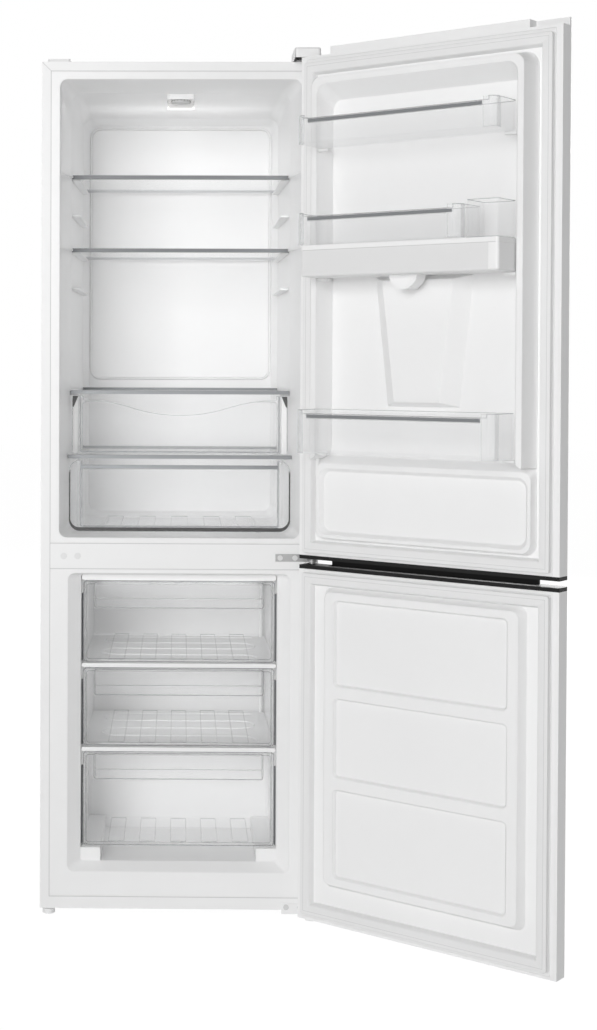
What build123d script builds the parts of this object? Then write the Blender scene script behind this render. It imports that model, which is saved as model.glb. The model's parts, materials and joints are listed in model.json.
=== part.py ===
from build123d import *
import os
from math import asin, cos, radians, sin

# Bottom freezer refrigerator, 600 mm class. Millimetres, +Z up, the front faces -Y.
# The origin is on the floor, under the middle of the steel case.
# Both doors are drawn shut and then swung open about their hinge line to the stored pose.

# --- steel case ---
CASE_WIDTH = 600.0
CASE_TOP = 1850.0
CASE_DEPTH = 535.0
FLOOR_GAP = 16.0          # floor to the underside of the case
SHEET = 0.8               # steel sheet
FRONT_FLANGE = 20.0       # folded edge round the front
BOTTOM_FLANGE = 26.0
PAN = 1.2                 # base pan sheet
LINER = 2.0               # moulded liner wall

# --- running and sliding gaps ---
RUN_GAP = 0.05            # pins in their bores, radial
SLIDE_GAP = 0.5           # between pieces that slide past each other
SEAT_GAP = 0.3            # between a lifted piece and what it sits on
OVERCUT = 1.0             # a cut runs on this far past what it cuts

# --- fridge compartment ---
FRIDGE_BORDER = 40.0      # case side to the opening
FRIDGE_TOP_BORDER = 38.0
FRIDGE_RISE = 78.5        # freezer's opening to the lower edge of the fridge's opening
FRIDGE_BACK = 55.0        # insulation and steel behind the back wall
FRIDGE_CORNER = 16.0
FLARE_DEPTH = 105.0       # the walls draw in over this depth
FLARE_SIDE = 17.0
FLARE_TOP = 13.5
FLARE_FLOOR = 2.0
WALL_DRAFT = 7.0          # further draw of each side wall to the back
CEILING_DRAFT = 5.5
BACK_CORNER_DEPTH = 24.0  # sloped corner between the side and back walls
BACK_CORNER_SIDE = 14.0
INNER_CORNER = 24.0

# --- shelf ladder ---
SHELF_DROP = 231.5        # top of the case to the upper shelf
RUNG_PITCH = 81.25
RUNG_COUNT = 4
LOWER_SHELF_RUNG = 2      # the second shelf sits this many rungs down
SHELF_SETBACK = 118.0     # cabinet front to the shelf's front edge
SHELF_REAR_GAP = 24.0
SHELF_TRAVEL = 240.0
GLASS = 4.0
TRIM_HEIGHT = 8.0
TRIM_DEPTH = 12.0
TRIM_LIP = 1.0            # trim stands above the glass
REAR_TRIM_HEIGHT = 6.5
LEDGE_HEIGHT = 5.0
LEDGE_REACH = 13.0        # how far a ledge comes in from the wall
LEDGE_START = 2.0         # a ledge starts this far behind the front trim
GLASS_INSET = 2.0         # the glass stops this short of the trims' outer edges
GLASS_SIDE_GAP = 1.8
TRIM_SIDE_GAP = 1.2
REAR_TRIM_DEPTH = 10.0

# --- chill tray and crisper ---
CHILL_RISE = 142.0        # cover of the crisper to the cover of the chill tray
CHILL_COVER_SETBACK = 100.0
CHILL_REAR_GAP = 42.0     # to the back wall
CHILL_TRAVEL = 230.0
CHILL_DIP = 34.0          # the front wall's wave dips this far in the middle
CHILL_CORNER = 10.0
CHILL_BORDER = CHILL_CORNER + 2.5   # border of the tray's front frame, past its rounded corners
CHILL_TOP_GAP = 2.0       # tray to the ledge above it
CHILL_FRONT_GAP = 3.0     # front frame to the wall
WAVE_TOP = 9.0            # the wave starts this far below the frame's top
WAVE_INSET = 2.0
CRISPER_RISE = 175.0      # lower edge of the opening to the crisper's cover
CRISPER_SETBACK = 75.0
CRISPER_REAR_GAP = 45.0
CRISPER_TRAVEL = 260.0
CRISPER_GRIP_HEIGHT = 12.0
CRISPER_GRIP_INSET = 26.0
CRISPER_GRIP_BAR = 3.0
CRISPER_GRIP_DROP = 5.0   # lip under the grip bar
CRISPER_CORNER = 14.0
CRISPER_TOP_GAP = 3.0
CRISPER_FRONT_GAP = 3.5
CRISPER_FRONT_RADIUS = 26.0
CRISPER_LIP = 2.0         # the front stands above the walls
CRISPER_RAIL_INSET = 73.0
CRISPER_RAIL_WIDTH = 8.0
CRISPER_RAIL_SHORT = 30.0 # the rail is this much shorter than the drawer
TRAY_WALL = 2.4
TRAY_TURN = 6.0          # outer rounding between the floor and the walls
CRISPER_TURN = 13.0
TRAY_SIDE_GAP = 7.0       # tray side to the liner wall
FRONT_PANEL = 4.0
RAIL_HEIGHT = 3.5

# --- freezer compartment ---
FREEZER_BORDER = 59.5
FREEZER_FLOOR = 96.5
FREEZER_TOP = 744.5
FREEZER_BACK = 80.0
FREEZER_CORNER = 14.0
FREEZER_RADIUS = 8.0      # corners behind the bevel
BEVEL_DEPTH = 24.0
BEVEL_SIDE = 27.0
BEVEL_TOP = 3.0
BEVEL_FLOOR = 17.5
FREEZER_DRAFT = 6.0
SILL_HEIGHT = 28.5        # floor blocks under the lowest drawer
SILL_WIDTH = 44.0
FREEZER_LEDGE_START = 4.0
FREEZER_LEDGE_SHORT = 20.0
FREEZER_LEDGE_REACH = 6.0

# --- freezer shelves and drawers ---
EVAPORATOR_DROP = 3.5     # edge of the opening to the top shelf
EVAPORATOR_PITCH = 184.0  # lowest shelf to the middle shelf
EVAPORATOR_RISE = 18.5    # step in the back wall to the lowest shelf
TOP_STRIP_HEIGHT = 13.5
STRIP_HEIGHT = 8.5
STRIP_THICK = 4.0
STRIP_SETBACK = 26.0
EVAPORATOR_SHEET = 1.4
EVAPORATOR_TUBE = 2.4     # tube radius
EVAPORATOR_PASSES = 5
EVAPORATOR_EDGE = 30.0    # the coil keeps this far from the sheet's edge
EVAPORATOR_REAR_GAP = 14.0
EVAPORATOR_SIDE_GAP = 2.5
STRIP_SIDE_GAP = 1.5
COIL_SETBACK = 60.0       # front strip to the first pass of the coil
RISER_INSET = 8.0         # side of the sheets to the tube that joins them
RISER_SETBACK = 6.0
RISER_RADIUS = 4.0
DRAWER_SETBACK = 42.0
DRAWER_REAR_GAP = 25.0
LOW_DRAWER_REAR_GAP = 16.0
DRAWER_SIDE_GAP = 4.25     # front panel to the side wall
DRAWER_TOP_GAP = 3.0
DRAWER_WALL = 2.2
DRAWER_BODY_GAP = 2.0     # drawer body to the wall at its rear
DRAWER_CORNER = 8.0
DRAWER_PANEL = 3.0        # front panel before the front wall
DRAWER_PANEL_CORNER = 7.0
DRAWER_TRAVEL = 250.0
LOW_DRAWER_TRAVEL = 190.0
FLAP_INSET = 28.5
FLAP_HEIGHT = 58.0
FLAP_REACH = 14.0
FLAP_WALL = 2.5
FLAP_CORNER = 6.0
FLAP_TOP_GAP = 1.0
FLOOR_PADS = 5
PAD_RISE = 1.6
PAD_INSET = 20.0          # pads keep this far from the front and rear walls

# --- machine bay ---
BAY_HEIGHT = 262.0
BAY_DEPTH = 195.0
BAY_INSULATION = 50.0

# --- crossbar and hinges ---
CROSSBAR_RISE = 10.5      # freezer's opening to the cover of the crossbar
CROSSBAR_DROP = 13.0      # fridge's opening to the cover
HINGE_INSET = 15.7        # door side to the hinge line
HINGE_BEHIND = 25.4       # door's inner face to the hinge line
OPEN_ANGLE = 141.6
PIN_RADIUS = 4.0
PIN_LENGTH = 14.0
PIN_END_GAP = 2.0
BRACKET = 4.0
HINGE_PLATE = 3.0         # plate of a front bracket
ARM_HALF = 11.0
WASHER_RADIUS = 7.0
WASHER_GAP = 1.0
PLATE_SIDE_GAP = 3.0      # front plates to the side of the case
MIDDLE_PLATE_LEFT = 76.3  # hinge line to the plate's far edge
MIDDLE_PLATE_HALF = 8.0
MIDDLE_PLATE_DROP = 1.5   # below the middle of the crossbar
MIDDLE_SCREWS = (66.3, 34.3)
BOTTOM_PLATE_LEFT = 60.0
BOTTOM_PLATE_RISE = 14.0
BOTTOM_ARM_DROP = 8.0
BOTTOM_WASHER_GAP = 0.5
BOTTOM_SCREWS = (50.0, 20.0)
BOTTOM_SCREW_RISE = 7.0
TOP_PLATE_LEFT = 36.0
TOP_PLATE_RIGHT = 10.0
TOP_PLATE_DEPTH = 45.0
TOP_PLATE_SETBACK = 1.0
TOP_ARM_LEFT = 12.0
TOP_ARM_NOSE = 10.0       # the arm reaches past the hinge line
TOP_ARM_LIFT = 1.0
TOP_SCREWS = ((22.0, 18.0), (2.0, 34.0))
COVER_LEFT = 44.0
COVER_SIDE_GAP = 2.0
COVER_NOSE = 12.5
COVER_DEPTH = 52.0
COVER_HEIGHT = 22.0
COVER_CORNER = 8.0
COVER_EDGE = 3.0
COVER_WALL = 2.0
COVER_LIFT = 1.0          # over the door
COVER_SKIRT = 2.0
COVER_SKIRT_CORNER = 5.0
BLANK_INSET = 13.0        # cover of the unused hinge place
BLANK_WIDTH = 49.0
BLANK_SETBACK = 2.0
BLANK_DEPTH = 50.0
BLANK_CORNER = 6.0
BLANK_HEIGHT = 6.0
CAP_SCREWS = (50.0, 80.0)
CAP_RIM = 1.2
CAP_HEIGHT = 1.6
SCREW_HEAD = 5.8
SCREW_HEAD_HEIGHT = 2.4
SCREW_SHANK = 2.4
SCREW_LENGTH = 10.0

# --- doors ---
DOOR_THICK = 40.0
GASKET_GAP = 15.0         # door's inner face to the case
DOOR_EDGE_RADIUS = 8.0
SKIN_RETURN = 14.0        # folded edge on the inner face
SPLIT_RISE = 35.0         # freezer's opening to the middle of the gap between the doors
SPLIT_GAP = 13.0
DOOR_FLOOR_GAP = 17.0     # floor to the lower door
CAP = 8.0
TOP_CAP = 6.0
CROWN_HEIGHT = 16.0       # raised block on top of the upper door
CROWN_START = 72.0        # hinge side of the door to the block
CROWN_FREE = 70.0         # free side of the door to the block
CROWN_LIP = 12.0
BOSS_RADIUS = 11.0
BOSS_HEIGHT = 16.0
GASKET_WIDTH = 27.0
GASKET_LIP = 20.0
GASKET_BASE = 5.0
GASKET_TOUCH = 0.4        # the shut gasket stops this short of the case
GASKET_CORNER = 3.0
BULB_CORNER = 4.0

# --- grip between the doors ---
GRIP_SIDE = 60.0          # side of the door to the grip
GRIP_HEIGHT = 20.0
GRIP_DEPTH = 28.0
GRIP_POCKET = 16.0        # the fingers curl up this far
GRIP_FRONT = 5.0          # wall in front of the pocket
GRIP_INSERT = 44.0
RAIL_LIP = 9.0
SCOOP_DEPTH = 16.0
SCOOP_WIDTH = 17.0
LOW_INSERT = 28.0

# --- upper door lining ---
DIKE_INSET = 49.0         # door side to the foot of the dike
DIKE_LOW = 46.0           # door bottom to the raised forms
DIKE_HIGH = 47.0          # door top to the raised forms
DIKE_HEIGHT = 48.0
DIKE_SLOPE = 8.0
DIKE_WIDTH = 14.0
DIKE_INNER_SLOPE = 9.0
DIKE_TOP_SLOPE = 29.0
DIKE_RADIUS = 30.0
DIKE_CURL = 30.0          # rounding at the lower end of each side
SUMP_RISE = 214.0         # lower end of the door to the top of the raised panel
SUMP_HEIGHT = 18.0
SUMP_SLOPE = 14.0
SUMP_BORDER = 8.0
SUMP_RECESS = 10.0
SUMP_PANEL_RADIUS = 20.0
SUMP_DRAFT = 3.0
SUMP_PANEL_SLOPE = 6.0

# --- door bins ---
BIN_SIDE = 75.0           # side of the door to the end of a bin
BIN_BACK = 34.0           # door's inner face to the bin's back wall
BIN_DEPTH = 93.0
BIN_WALL = 2.2
BIN_RADIUS = 15.0
BIN_TURN = 5.0
BIN_LIFT = 25.0
BIN_STEP = 7.0            # the front wall is lower than the ends
TOP_BIN_DROP = 203.0      # top of the door to the floor of the top bin
TOP_BIN_HEIGHT = 59.0
MIDDLE_BIN_HEIGHT = 65.0
FILLER_ROOM = 75.0        # the middle bin is shorter to make room for the filler
LOW_BIN_RISE = 231.0
LOW_BIN_HEIGHT = 90.0
SEAT_REACH = 24.0
SEAT_HEIGHT = 6.0
SEAT_OVERRUN = 2.0        # the seats run into the dikes past the bins' ends
SEAT_SLACK = 1.0
SEAT_FRONT_GAP = 2.0
BIN_RAIL_INSET = 28.0
BIN_RAIL_DROP = 13.0
BIN_RAIL_HEIGHT = 8.0
BIN_RAIL_THICK = 1.0

# --- water tank and dispenser ---
TANK_DROP = 408.0         # top of the door to the top of the tank
TANK_HEIGHT = 64.0
TANK_LID = 10.0
TANK_DEPTH = 78.0
TANK_WALL = 2.0
TANK_TRAVEL = 60.0
TANK_CORNER = 6.0
PLUG_GAP = 0.4
PLUG_WALL = 2.5
PLUG_DROP = 5.0
PLUG_CORNER = 5.0
PLUG_INNER_CORNER = 3.0
FILLER_GAP = 5.0
FILLER_WALL = 1.8
FILLER_HEIGHT = 73.0
FILLER_INSET = 2.0        # end of the tank to the filler
FILLER_CORNER = 8.0
FILLER_HOLE_SIDE = 6.0    # filler's side to the hole in the lid
FILLER_HOLE_FRONT = 8.0
FILLER_HOLE_CORNER = 6.0
VALVE_HALF = 32.0
VALVE_HEIGHT = 29.0
VALVE_DEPTH = 34.0
VALVE_SHIFT = 8.0         # middle of the tank to the middle of the valve
SPOUT_FALL = 22.0         # tank's floor to the axis of the spout
SPOUT_RADIUS = 6.0
SPOUT_BORE = 3.0
SPOUT_GAP = 0.3
SPOUT_END = 8.0           # it ends this far outside the door's inner face plane
NICHE_HALF = 75.0
NICHE_RISE = 2.0          # tank's floor to the roof of the niche
NICHE_HEIGHT = 240.0
NICHE_RADIUS = 14.0
NICHE_DEPTH = 48.0
NICHE_DRAW = 20.0         # each side wall draws in this far
NICHE_DROP = 16.0         # the roof comes down this far
NICHE_WALL = 2.0
BEZEL = 9.0
BEZEL_PROUD = 1.5
BULGE_HEIGHT = 28.0
BULGE_FALL = 25.0         # below the niche
BULGE_HALF_TOP = 112.0
BULGE_HALF_LOW = 82.0
BULGE_SLOPE = 30.0
BULGE_EDGE = 8.0
BULGE_TOP_GAP = 2.0       # under the top of the niche
LEVER_DROP = 50.0         # roof of the niche to the pivot
LEVER_LENGTH = 112.0
LEVER_HALF = 13.0
LEVER_THICK = 3.0
LEVER_BEHIND = 6.0        # the pivot is this far outside the inner face plane
LEVER_HUB = 4.5
LEVER_PIN = 2.0
LEVER_EAR = 3.0
LEVER_EAR_HALF = 7.0
LEVER_CORNER = 5.0
DRIP_TRAY_HEIGHT = 12.0
DRIP_TRAY_BARS = 9
DRIP_TRAY_FRONT_GAP = 1.0
DRIP_TRAY_BACK_GAP = 2.0
DRIP_BAR_HALF = 2.5
DRIP_BAR_HEIGHT = 2.0
DRIP_BAR_END_GAP = 1.0

# --- lower door lining ---
PANEL_SIDE = 68.0         # side of the door to the raised panel
PANEL_RISE = 83.0         # lower end of the door to the panel
PANEL_DROP = 42.0         # upper end of the door to the panel
PANEL_HEIGHT = 18.0
PANEL_SLOPE = 8.0
PANEL_RADIUS = 16.0
RECESS_BORDER = 32.0
RECESS_DROPS = ((204.0, 24.0), (395.0, 229.0), (606.0, 420.0))   # below the panel's top
RECESS_DEPTH = 6.0
RECESS_SLOPE = 3.0
RECESS_RADIUS = 10.0
RECESS_FLOOR_RADIUS = 8.0
STUB_INSET = 55.0         # stub under the free end of the lower door
STUB_DROP = 6.0
STUB_RADIUS = 7.0

# --- lamp and thermostat ---
LAMP_HALF = 31.0
LAMP_SETBACK = 112.0
LAMP_LENGTH = 123.0
LAMP_DROP = 11.0          # housing below the ceiling's front edge
LENS_DROP = 6.0
LENS_INSET = 1.0
LENS_LEAD = 14.0          # the lens starts this far before the dial's middle
LENS_SHORT = 2.0
LENS_CORNER = 10.0
LENS_DIAL_GAP = 2.0
LAMP_CORNER = 8.0
LAMP_SUNK = 2.0
DIAL_RADIUS = 20.5
DIAL_SETBACK = 140.0
DIAL_HEIGHT = 12.0
DIAL_GAP = 0.5
DIAL_EDGE = 1.5
SHAFT_RADIUS = 3.0
SHAFT_LENGTH = 9.0        # measured from the underside of the housing

# --- feet and rollers ---
FOOT_RADIUS = 13.5
FOOT_INSET = 18.0
FOOT_SETBACK = 22.0
FOOT_DISC = 11.0
STUD_RADIUS = 4.0
STUD_RISE = 22.0
STUD_POCKET = 1.0         # room round the stud in the insulation
FOOT_EDGE = 1.2
FOOT_NECK = 8.1
ROLLER_RADIUS = 12.0
ROLLER_WIDTH = 18.0
ROLLER_INSET = 68.0
ROLLER_SETBACK = 26.0
AXLE_RADIUS = 2.5
LUG = 3.0
LUG_HALF = 8.0
LUG_EDGE = 2.0            # steel under the axle
ROLLER_GAP = 2.0
AXLE_END = 2.0

# --- machine parts ---
POT_RADIUS = 68.0
POT_HEIGHT = 150.0
POT_X = -110.0
POT_FLOOR = 47.6          # radius of the flat bottom
POT_FOOT = 22.0
POT_SHOULDER = 40.0
POT_DOME = 10.0
POT_DOME_RADIUS = 49.0
POT_LAND = 34.0           # radius of the flat top that carries the defrost tray
POT_SEAM = 67.5
POT_SEAM_RIM = 4.0
CARRIER_HALF = 100.0
CARRIER_DEPTH = 62.0
CARRIER_CORNER = 14.0
RELAY_START = 8.0         # the relay box starts inside the pot
RELAY_END = 26.0
RELAY_HALF = 24.0
RELAY_CORNER = 5.0
RELAY_LOW = 30.0
RELAY_HIGH = 92.0
GROMMET_X = 85.0
GROMMET_Y = 50.0
GROMMET_STUD = 4.0
GROMMET_HEAD = 6.0
STUB_TUBE_X = 40.8        # discharge socket, from the pot's axis
STUB_TUBE_Y = 10.0
STUB_TUBE_DROP = 12.0
TUBE_GRIP = 6.0           # depth of a tube in its socket
TUBE_END_GAP = 2.0
GROMMET_HEIGHT = 16.0
GROMMET_RADIUS = 11.0
CARRIER = 3.0
CONDENSER_GAP = 12.0
CONDENSER_TUBE = 2.5      # tube radius
CONDENSER_SIDE = 65.0
CONDENSER_RISE = 52.0     # roof of the machine bay to the lowest pass
CONDENSER_DROP = 160.0    # top of the case to the highest pass
CONDENSER_PASSES = 24
WIRE_COUNT = 25
WIRE_RADIUS = 0.8
WIRE_CLEARANCE = 0.05
WIRE_INSET = 12.0
WIRE_OVERRUN = 8.0
TUBE_BEND = 10.0
TUBE_RISER = 22.0         # riser beside the condenser
TUBE_TOP_GAP = 22.0       # under the roof of the machine bay
TUBE_LOW_GAP = 40.0
CLIP_WIDTH = 12.0
CLIP_HALF = 12.0
CLIP_INSET = 30.0
CLIP_ROWS = (2, 4)        # clipped passes, counted from the top and from the bottom
DRIER_RADIUS = 9.0
DRIER_LENGTH = 90.0
DRIER_X = 120.0
DRIER_SETBACK = 60.0
DRIER_RISE = 60.0
DRIER_NECK = 14.0
DRIER_TIP = 3.0
DRIER_MOUTH = 4.0
DEFROST_TRAY = (-35.0, 85.0)   # sides of the defrost tray, from the pot's axis
DEFROST_TRAY_FRONT = 60.0
DEFROST_TRAY_BACK = 50.0
DEFROST_TRAY_HEIGHT = 26.0
DEFROST_TRAY_CORNER = 12.0
INLET_SIDE = 95.0         # side of the case to the middle of the inlet
INLET_RISE = 120.0
INLET_HALF = 26.0
INLET_DEPTH = 34.0
INLET_HEIGHT = 44.0
INLET_CORNER = 4.0
INLET_MOUTH_HALF = 14.0
INLET_MOUTH_DEPTH = 20.0
INLET_RIM = 12.0
EVAPORATOR_PLATE = 2.0    # plate evaporator behind the fridge wall
PLATE_LIFT = 60.0         # above the chill tray's cover
PLATE_DROP = 72.0         # roof of the compartment to the top of the plate
PLATE_CORNER = 6.0
HUMP_EXTRA = 15.0         # the freezer's step stands this much higher

# --- derived places ---
HALF = CASE_WIDTH / 2
FRONT = -CASE_DEPTH / 2
BACK = CASE_DEPTH / 2
INNER = FRONT - GASKET_GAP          # inner face plane of a shut door
OUTER = INNER - DOOR_THICK
HINGE_X = HALF - HINGE_INSET
HINGE_Y = INNER - HINGE_BEHIND
FRIDGE_HALF = HALF - FRIDGE_BORDER
FRIDGE_HIGH = CASE_TOP - FRIDGE_TOP_BORDER
FRIDGE_DEPTH = CASE_DEPTH - FRIDGE_BACK
FREEZER_HALF = HALF - FREEZER_BORDER
FREEZER_DEPTH = CASE_DEPTH - FREEZER_BACK
BAY_TOP = FLOOR_GAP + BAY_HEIGHT
BAY_FRONT = BACK - BAY_DEPTH
BAY_WALL = BAY_FRONT - FRONT - BAY_INSULATION    # depth of the freezer's low back wall
HUMP_TOP = BAY_TOP + BAY_INSULATION + HUMP_EXTRA
PAN_TOP = FLOOR_GAP + PAN
FRIDGE_FLOOR = FREEZER_TOP + FRIDGE_RISE         # lower edge of the opening
CROSSBAR_LOW = FREEZER_TOP + CROSSBAR_RISE
CROSSBAR_HIGH = FRIDGE_FLOOR - CROSSBAR_DROP
DOOR_SPLIT = FREEZER_TOP + SPLIT_RISE            # middle of the gap between the doors
UPPER_LOW = DOOR_SPLIT + SPLIT_GAP / 2
LOWER_HIGH = DOOR_SPLIT - SPLIT_GAP / 2
UPPER_HIGH = CASE_TOP
FRIDGE_WAIST = FRIDGE_HALF - FLARE_SIDE
CEILING_FRONT = FRIDGE_HIGH - FLARE_TOP
FLOOR_LEVEL = FRIDGE_FLOOR + FLARE_FLOOR
SHELF_TOP = CASE_TOP - SHELF_DROP
CRISPER_COVER_TOP = FRIDGE_FLOOR + CRISPER_RISE
CHILL_COVER_TOP = CRISPER_COVER_TOP + CHILL_RISE
CHILL_DEPTH = FRIDGE_DEPTH - SHELF_SETBACK - CHILL_REAR_GAP
CRISPER_DEPTH = FRIDGE_DEPTH - CRISPER_SETBACK - CRISPER_REAR_GAP
CRISPER_GRIP_HALF = FRIDGE_WAIST - CRISPER_GRIP_INSET
CRISPER_RAIL_X = FRIDGE_WAIST - CRISPER_RAIL_INSET
FREEZER_WAIST = FREEZER_HALF - BEVEL_SIDE
FREEZER_LEVEL = FREEZER_FLOOR + BEVEL_FLOOR
FREEZER_CEILING = FREEZER_TOP - BEVEL_TOP
LOW_EVAPORATOR = HUMP_TOP + EVAPORATOR_RISE
EVAPORATOR_TOPS = (FREEZER_TOP - EVAPORATOR_DROP, LOW_EVAPORATOR + EVAPORATOR_PITCH, LOW_EVAPORATOR)
DRAWER_DEPTH = FREEZER_DEPTH - DRAWER_SETBACK - DRAWER_REAR_GAP
LOW_DRAWER_DEPTH = BAY_WALL - DRAWER_SETBACK - LOW_DRAWER_REAR_GAP
FLAP_HALF = FREEZER_WAIST - FLAP_INSET
GRIP_HALF = HALF - GRIP_SIDE
SUMP_TOP = UPPER_LOW + SUMP_RISE
BIN_HALF = HALF - BIN_SIDE
TOP_BIN_FLOOR = UPPER_HIGH - TOP_BIN_DROP
LOW_BIN_FLOOR = UPPER_LOW + LOW_BIN_RISE
TANK_TOP = UPPER_HIGH - TANK_DROP
TANK_FLOOR = TANK_TOP - TANK_HEIGHT
MIDDLE_BIN_FLOOR = TANK_TOP + SEAT_GAP
MIDDLE_BIN_END = FILLER_ROOM - BIN_HALF
SPOUT_HEIGHT = TANK_FLOOR - SPOUT_FALL
NICHE_HIGH = TANK_FLOOR + NICHE_RISE
NICHE_LOW = NICHE_HIGH - NICHE_HEIGHT
BULGE_LOW = NICHE_LOW - BULGE_FALL
LEVER_PIVOT = NICHE_HIGH - LEVER_DROP
PANEL_HALF = HALF - PANEL_SIDE
PANEL_LOW = DOOR_FLOOR_GAP + PANEL_RISE
PANEL_HIGH = LOWER_HIGH - PANEL_DROP
RECESS_HALF = PANEL_HALF - RECESS_BORDER
CONDENSER_HALF = HALF - CONDENSER_SIDE
CONDENSER_LOW = BAY_TOP + CONDENSER_RISE
CONDENSER_HIGH = CASE_TOP - CONDENSER_DROP
INLET_X = HALF - INLET_SIDE


# ---------------------------------------------------------------- shapes

def block(x0, x1, y0, y1, z0, z1):
    """Box between two corners."""
    size = Box(abs(x1 - x0), abs(y1 - y0), abs(z1 - z0))
    return Pos((x0 + x1) / 2, (y0 + y1) / 2, (z0 + z1) / 2) * size


def slab(half, low, high, radius, y0, y1):
    """Upright plate across the front, with rounded corners, from y0 back to y1."""
    face = facing(y1, (low + high) / 2) * RectangleRounded(2 * half, high - low, radius)
    return extrude(face, y1 - y0)


def facing(y, z, x=0.0):
    """Drawing plane that faces the front."""
    return Plane(origin=(x, y, z), x_dir=(1, 0, 0), z_dir=(0, -1, 0))


def upright(x0, x1, y0, y1, radius, z0, z1):
    """Block with rounded upright edges."""
    face = RectangleRounded(x1 - x0, y1 - y0, radius)
    return Pos((x0 + x1) / 2, (y0 + y1) / 2, z0) * extrude(face, z1 - z0)


def post(x, y, z0, z1, radius):
    """Upright round bar."""
    return Pos(x, y, z0) * Cylinder(radius, z1 - z0, align=(Align.CENTER, Align.CENTER, Align.MIN))


def bar_x(x0, x1, y, z, radius):
    """Round bar along X."""
    bar = Cylinder(radius, x1 - x0, align=(Align.CENTER, Align.CENTER, Align.MIN))
    return Pos(x0, y, z) * Rot(0, 90, 0) * bar


def bar_y(x, y0, y1, z, radius):
    """Round bar along Y."""
    bar = Cylinder(radius, y1 - y0, align=(Align.CENTER, Align.CENTER, Align.MIN))
    return Pos(x, y0, z) * Rot(-90, 0, 0) * bar


def prism_z(points, z0, z1):
    """Upright prism on a closed outline in plan."""
    outline = make_face(Polyline(*points, close=True))
    return Pos(0, 0, z0) * extrude(outline, z1 - z0)


def frustum(near, far):
    """Solid between two rounded windows: (y, half, low, high, radius)."""
    faces = []
    for y, half, low, high, radius in (near, far):
        window = RectangleRounded(2 * half, high - low, radius)
        faces.append(facing(y, (low + high) / 2) * window)
    return loft(faces, ruled=True)


def pan_block(x0, x1, y0, y1, radius, z0, z1, turn):
    """Block with rounded upright edges and a rounded edge round its floor."""
    body = upright(x0, x1, y0, y1, radius, z0, z1)
    return fillet(body.edges().group_by(Axis.Z)[0], turn)


def tray(x0, x1, y0, y1, radius, z0, z1, wall, turn):
    """Open box with rounded upright corners and a rounded floor edge."""
    inside = pan_block(x0 + wall, x1 - wall, y0 + wall, y1 - wall, radius - wall,
                       z0 + wall, z1 + wall, turn - wall)
    return pan_block(x0, x1, y0, y1, radius, z0, z1, turn) - inside


def both_sides(shape):
    """The shape and its mirror image across the middle."""
    return shape + mirror(shape, Plane.YZ)


# ---------------------------------------------------------------- compartments

def cavity(stations, grow):
    """Tapered compartment through windows at rising depth, grown by a wall."""
    solid = None
    for near, far in zip(stations, stations[1:]):
        ends = []
        for depth, half, low, high, radius in (near, far):
            shift = grow if depth == stations[-1][0] else 0.0
            ends.append((FRONT + depth + shift, half + grow, low - grow, high + grow, radius + grow))
        piece = frustum(*ends)
        solid = piece if solid is None else solid + piece
    return solid


def fridge_space(grow=0.0):
    """Inside of the fridge compartment."""
    knee = FRIDGE_DEPTH - BACK_CORNER_DEPTH
    high = CEILING_FRONT - CEILING_DRAFT
    waist = FRIDGE_WAIST - WALL_DRAFT
    side = BACK_CORNER_SIDE
    stations = (
        (0.0, FRIDGE_HALF, FRIDGE_FLOOR, FRIDGE_HIGH, FRIDGE_CORNER),
        (FLARE_DEPTH, FRIDGE_WAIST, FLOOR_LEVEL, CEILING_FRONT, INNER_CORNER),
        (knee, waist, FLOOR_LEVEL, high, INNER_CORNER),
        (FRIDGE_DEPTH, waist - side, FLOOR_LEVEL + side, high - side, INNER_CORNER),
    )
    return cavity(stations, grow)


def fridge_half(depth):
    """Half width between the fridge walls at a depth."""
    if depth <= FLARE_DEPTH:
        return FRIDGE_HALF - FLARE_SIDE * depth / FLARE_DEPTH
    run = FRIDGE_DEPTH - BACK_CORNER_DEPTH - FLARE_DEPTH
    return FRIDGE_WAIST - WALL_DRAFT * (depth - FLARE_DEPTH) / run


def freezer_half(depth):
    """Half width between the freezer walls at a depth behind the bevel."""
    return FREEZER_WAIST - FREEZER_DRAFT * (depth - BEVEL_DEPTH) / (FREEZER_DEPTH - BEVEL_DEPTH)


def freezer_space(grow=0.0):
    """Inside of the freezer, with the step over the machine bay."""
    stations = (
        (0.0, FREEZER_HALF, FREEZER_FLOOR, FREEZER_TOP, FREEZER_CORNER),
        (BEVEL_DEPTH, FREEZER_WAIST, FREEZER_LEVEL, FREEZER_CEILING, FREEZER_RADIUS),
        (FREEZER_DEPTH, FREEZER_WAIST - FREEZER_DRAFT, FREEZER_LEVEL, FREEZER_CEILING, FREEZER_RADIUS),
    )
    wall = FRONT + BAY_WALL + grow
    step = block(-HALF, HALF, wall, BACK, FLOOR_GAP, HUMP_TOP - grow)
    return cavity(stations, grow) - step


def wall_outline(front, rear, gap, half_at, knee=None):
    """Plan outline that keeps a gap from both side walls."""
    depths = [front, rear] if knee is None or knee <= front else [front, knee, rear]
    right = [(half_at(d) - gap, FRONT + d) for d in depths]
    left = [(-x, y) for x, y in reversed(right)]
    return right + left


def ledges(top, front, rear, half_at, reach, height):
    """Pair of ledges on the side walls, their outer edges sunk into the walls."""
    sunk = LINER / 2
    points = (
        (half_at(rear) - reach, FRONT + front),
        (half_at(front) + sunk, FRONT + front),
        (half_at(rear) + sunk, FRONT + rear),
        (half_at(rear) - reach, FRONT + rear),
    )
    return both_sides(prism_z(points, top - height, top))


def shelf_rear():
    """Depth of the rear edge of the shelves."""
    return FRIDGE_DEPTH - SHELF_REAR_GAP


def ledge_top(shelf_top):
    """Height of the ledge that carries a shelf."""
    return shelf_top - TRIM_LIP - GLASS - SEAT_GAP


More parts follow.
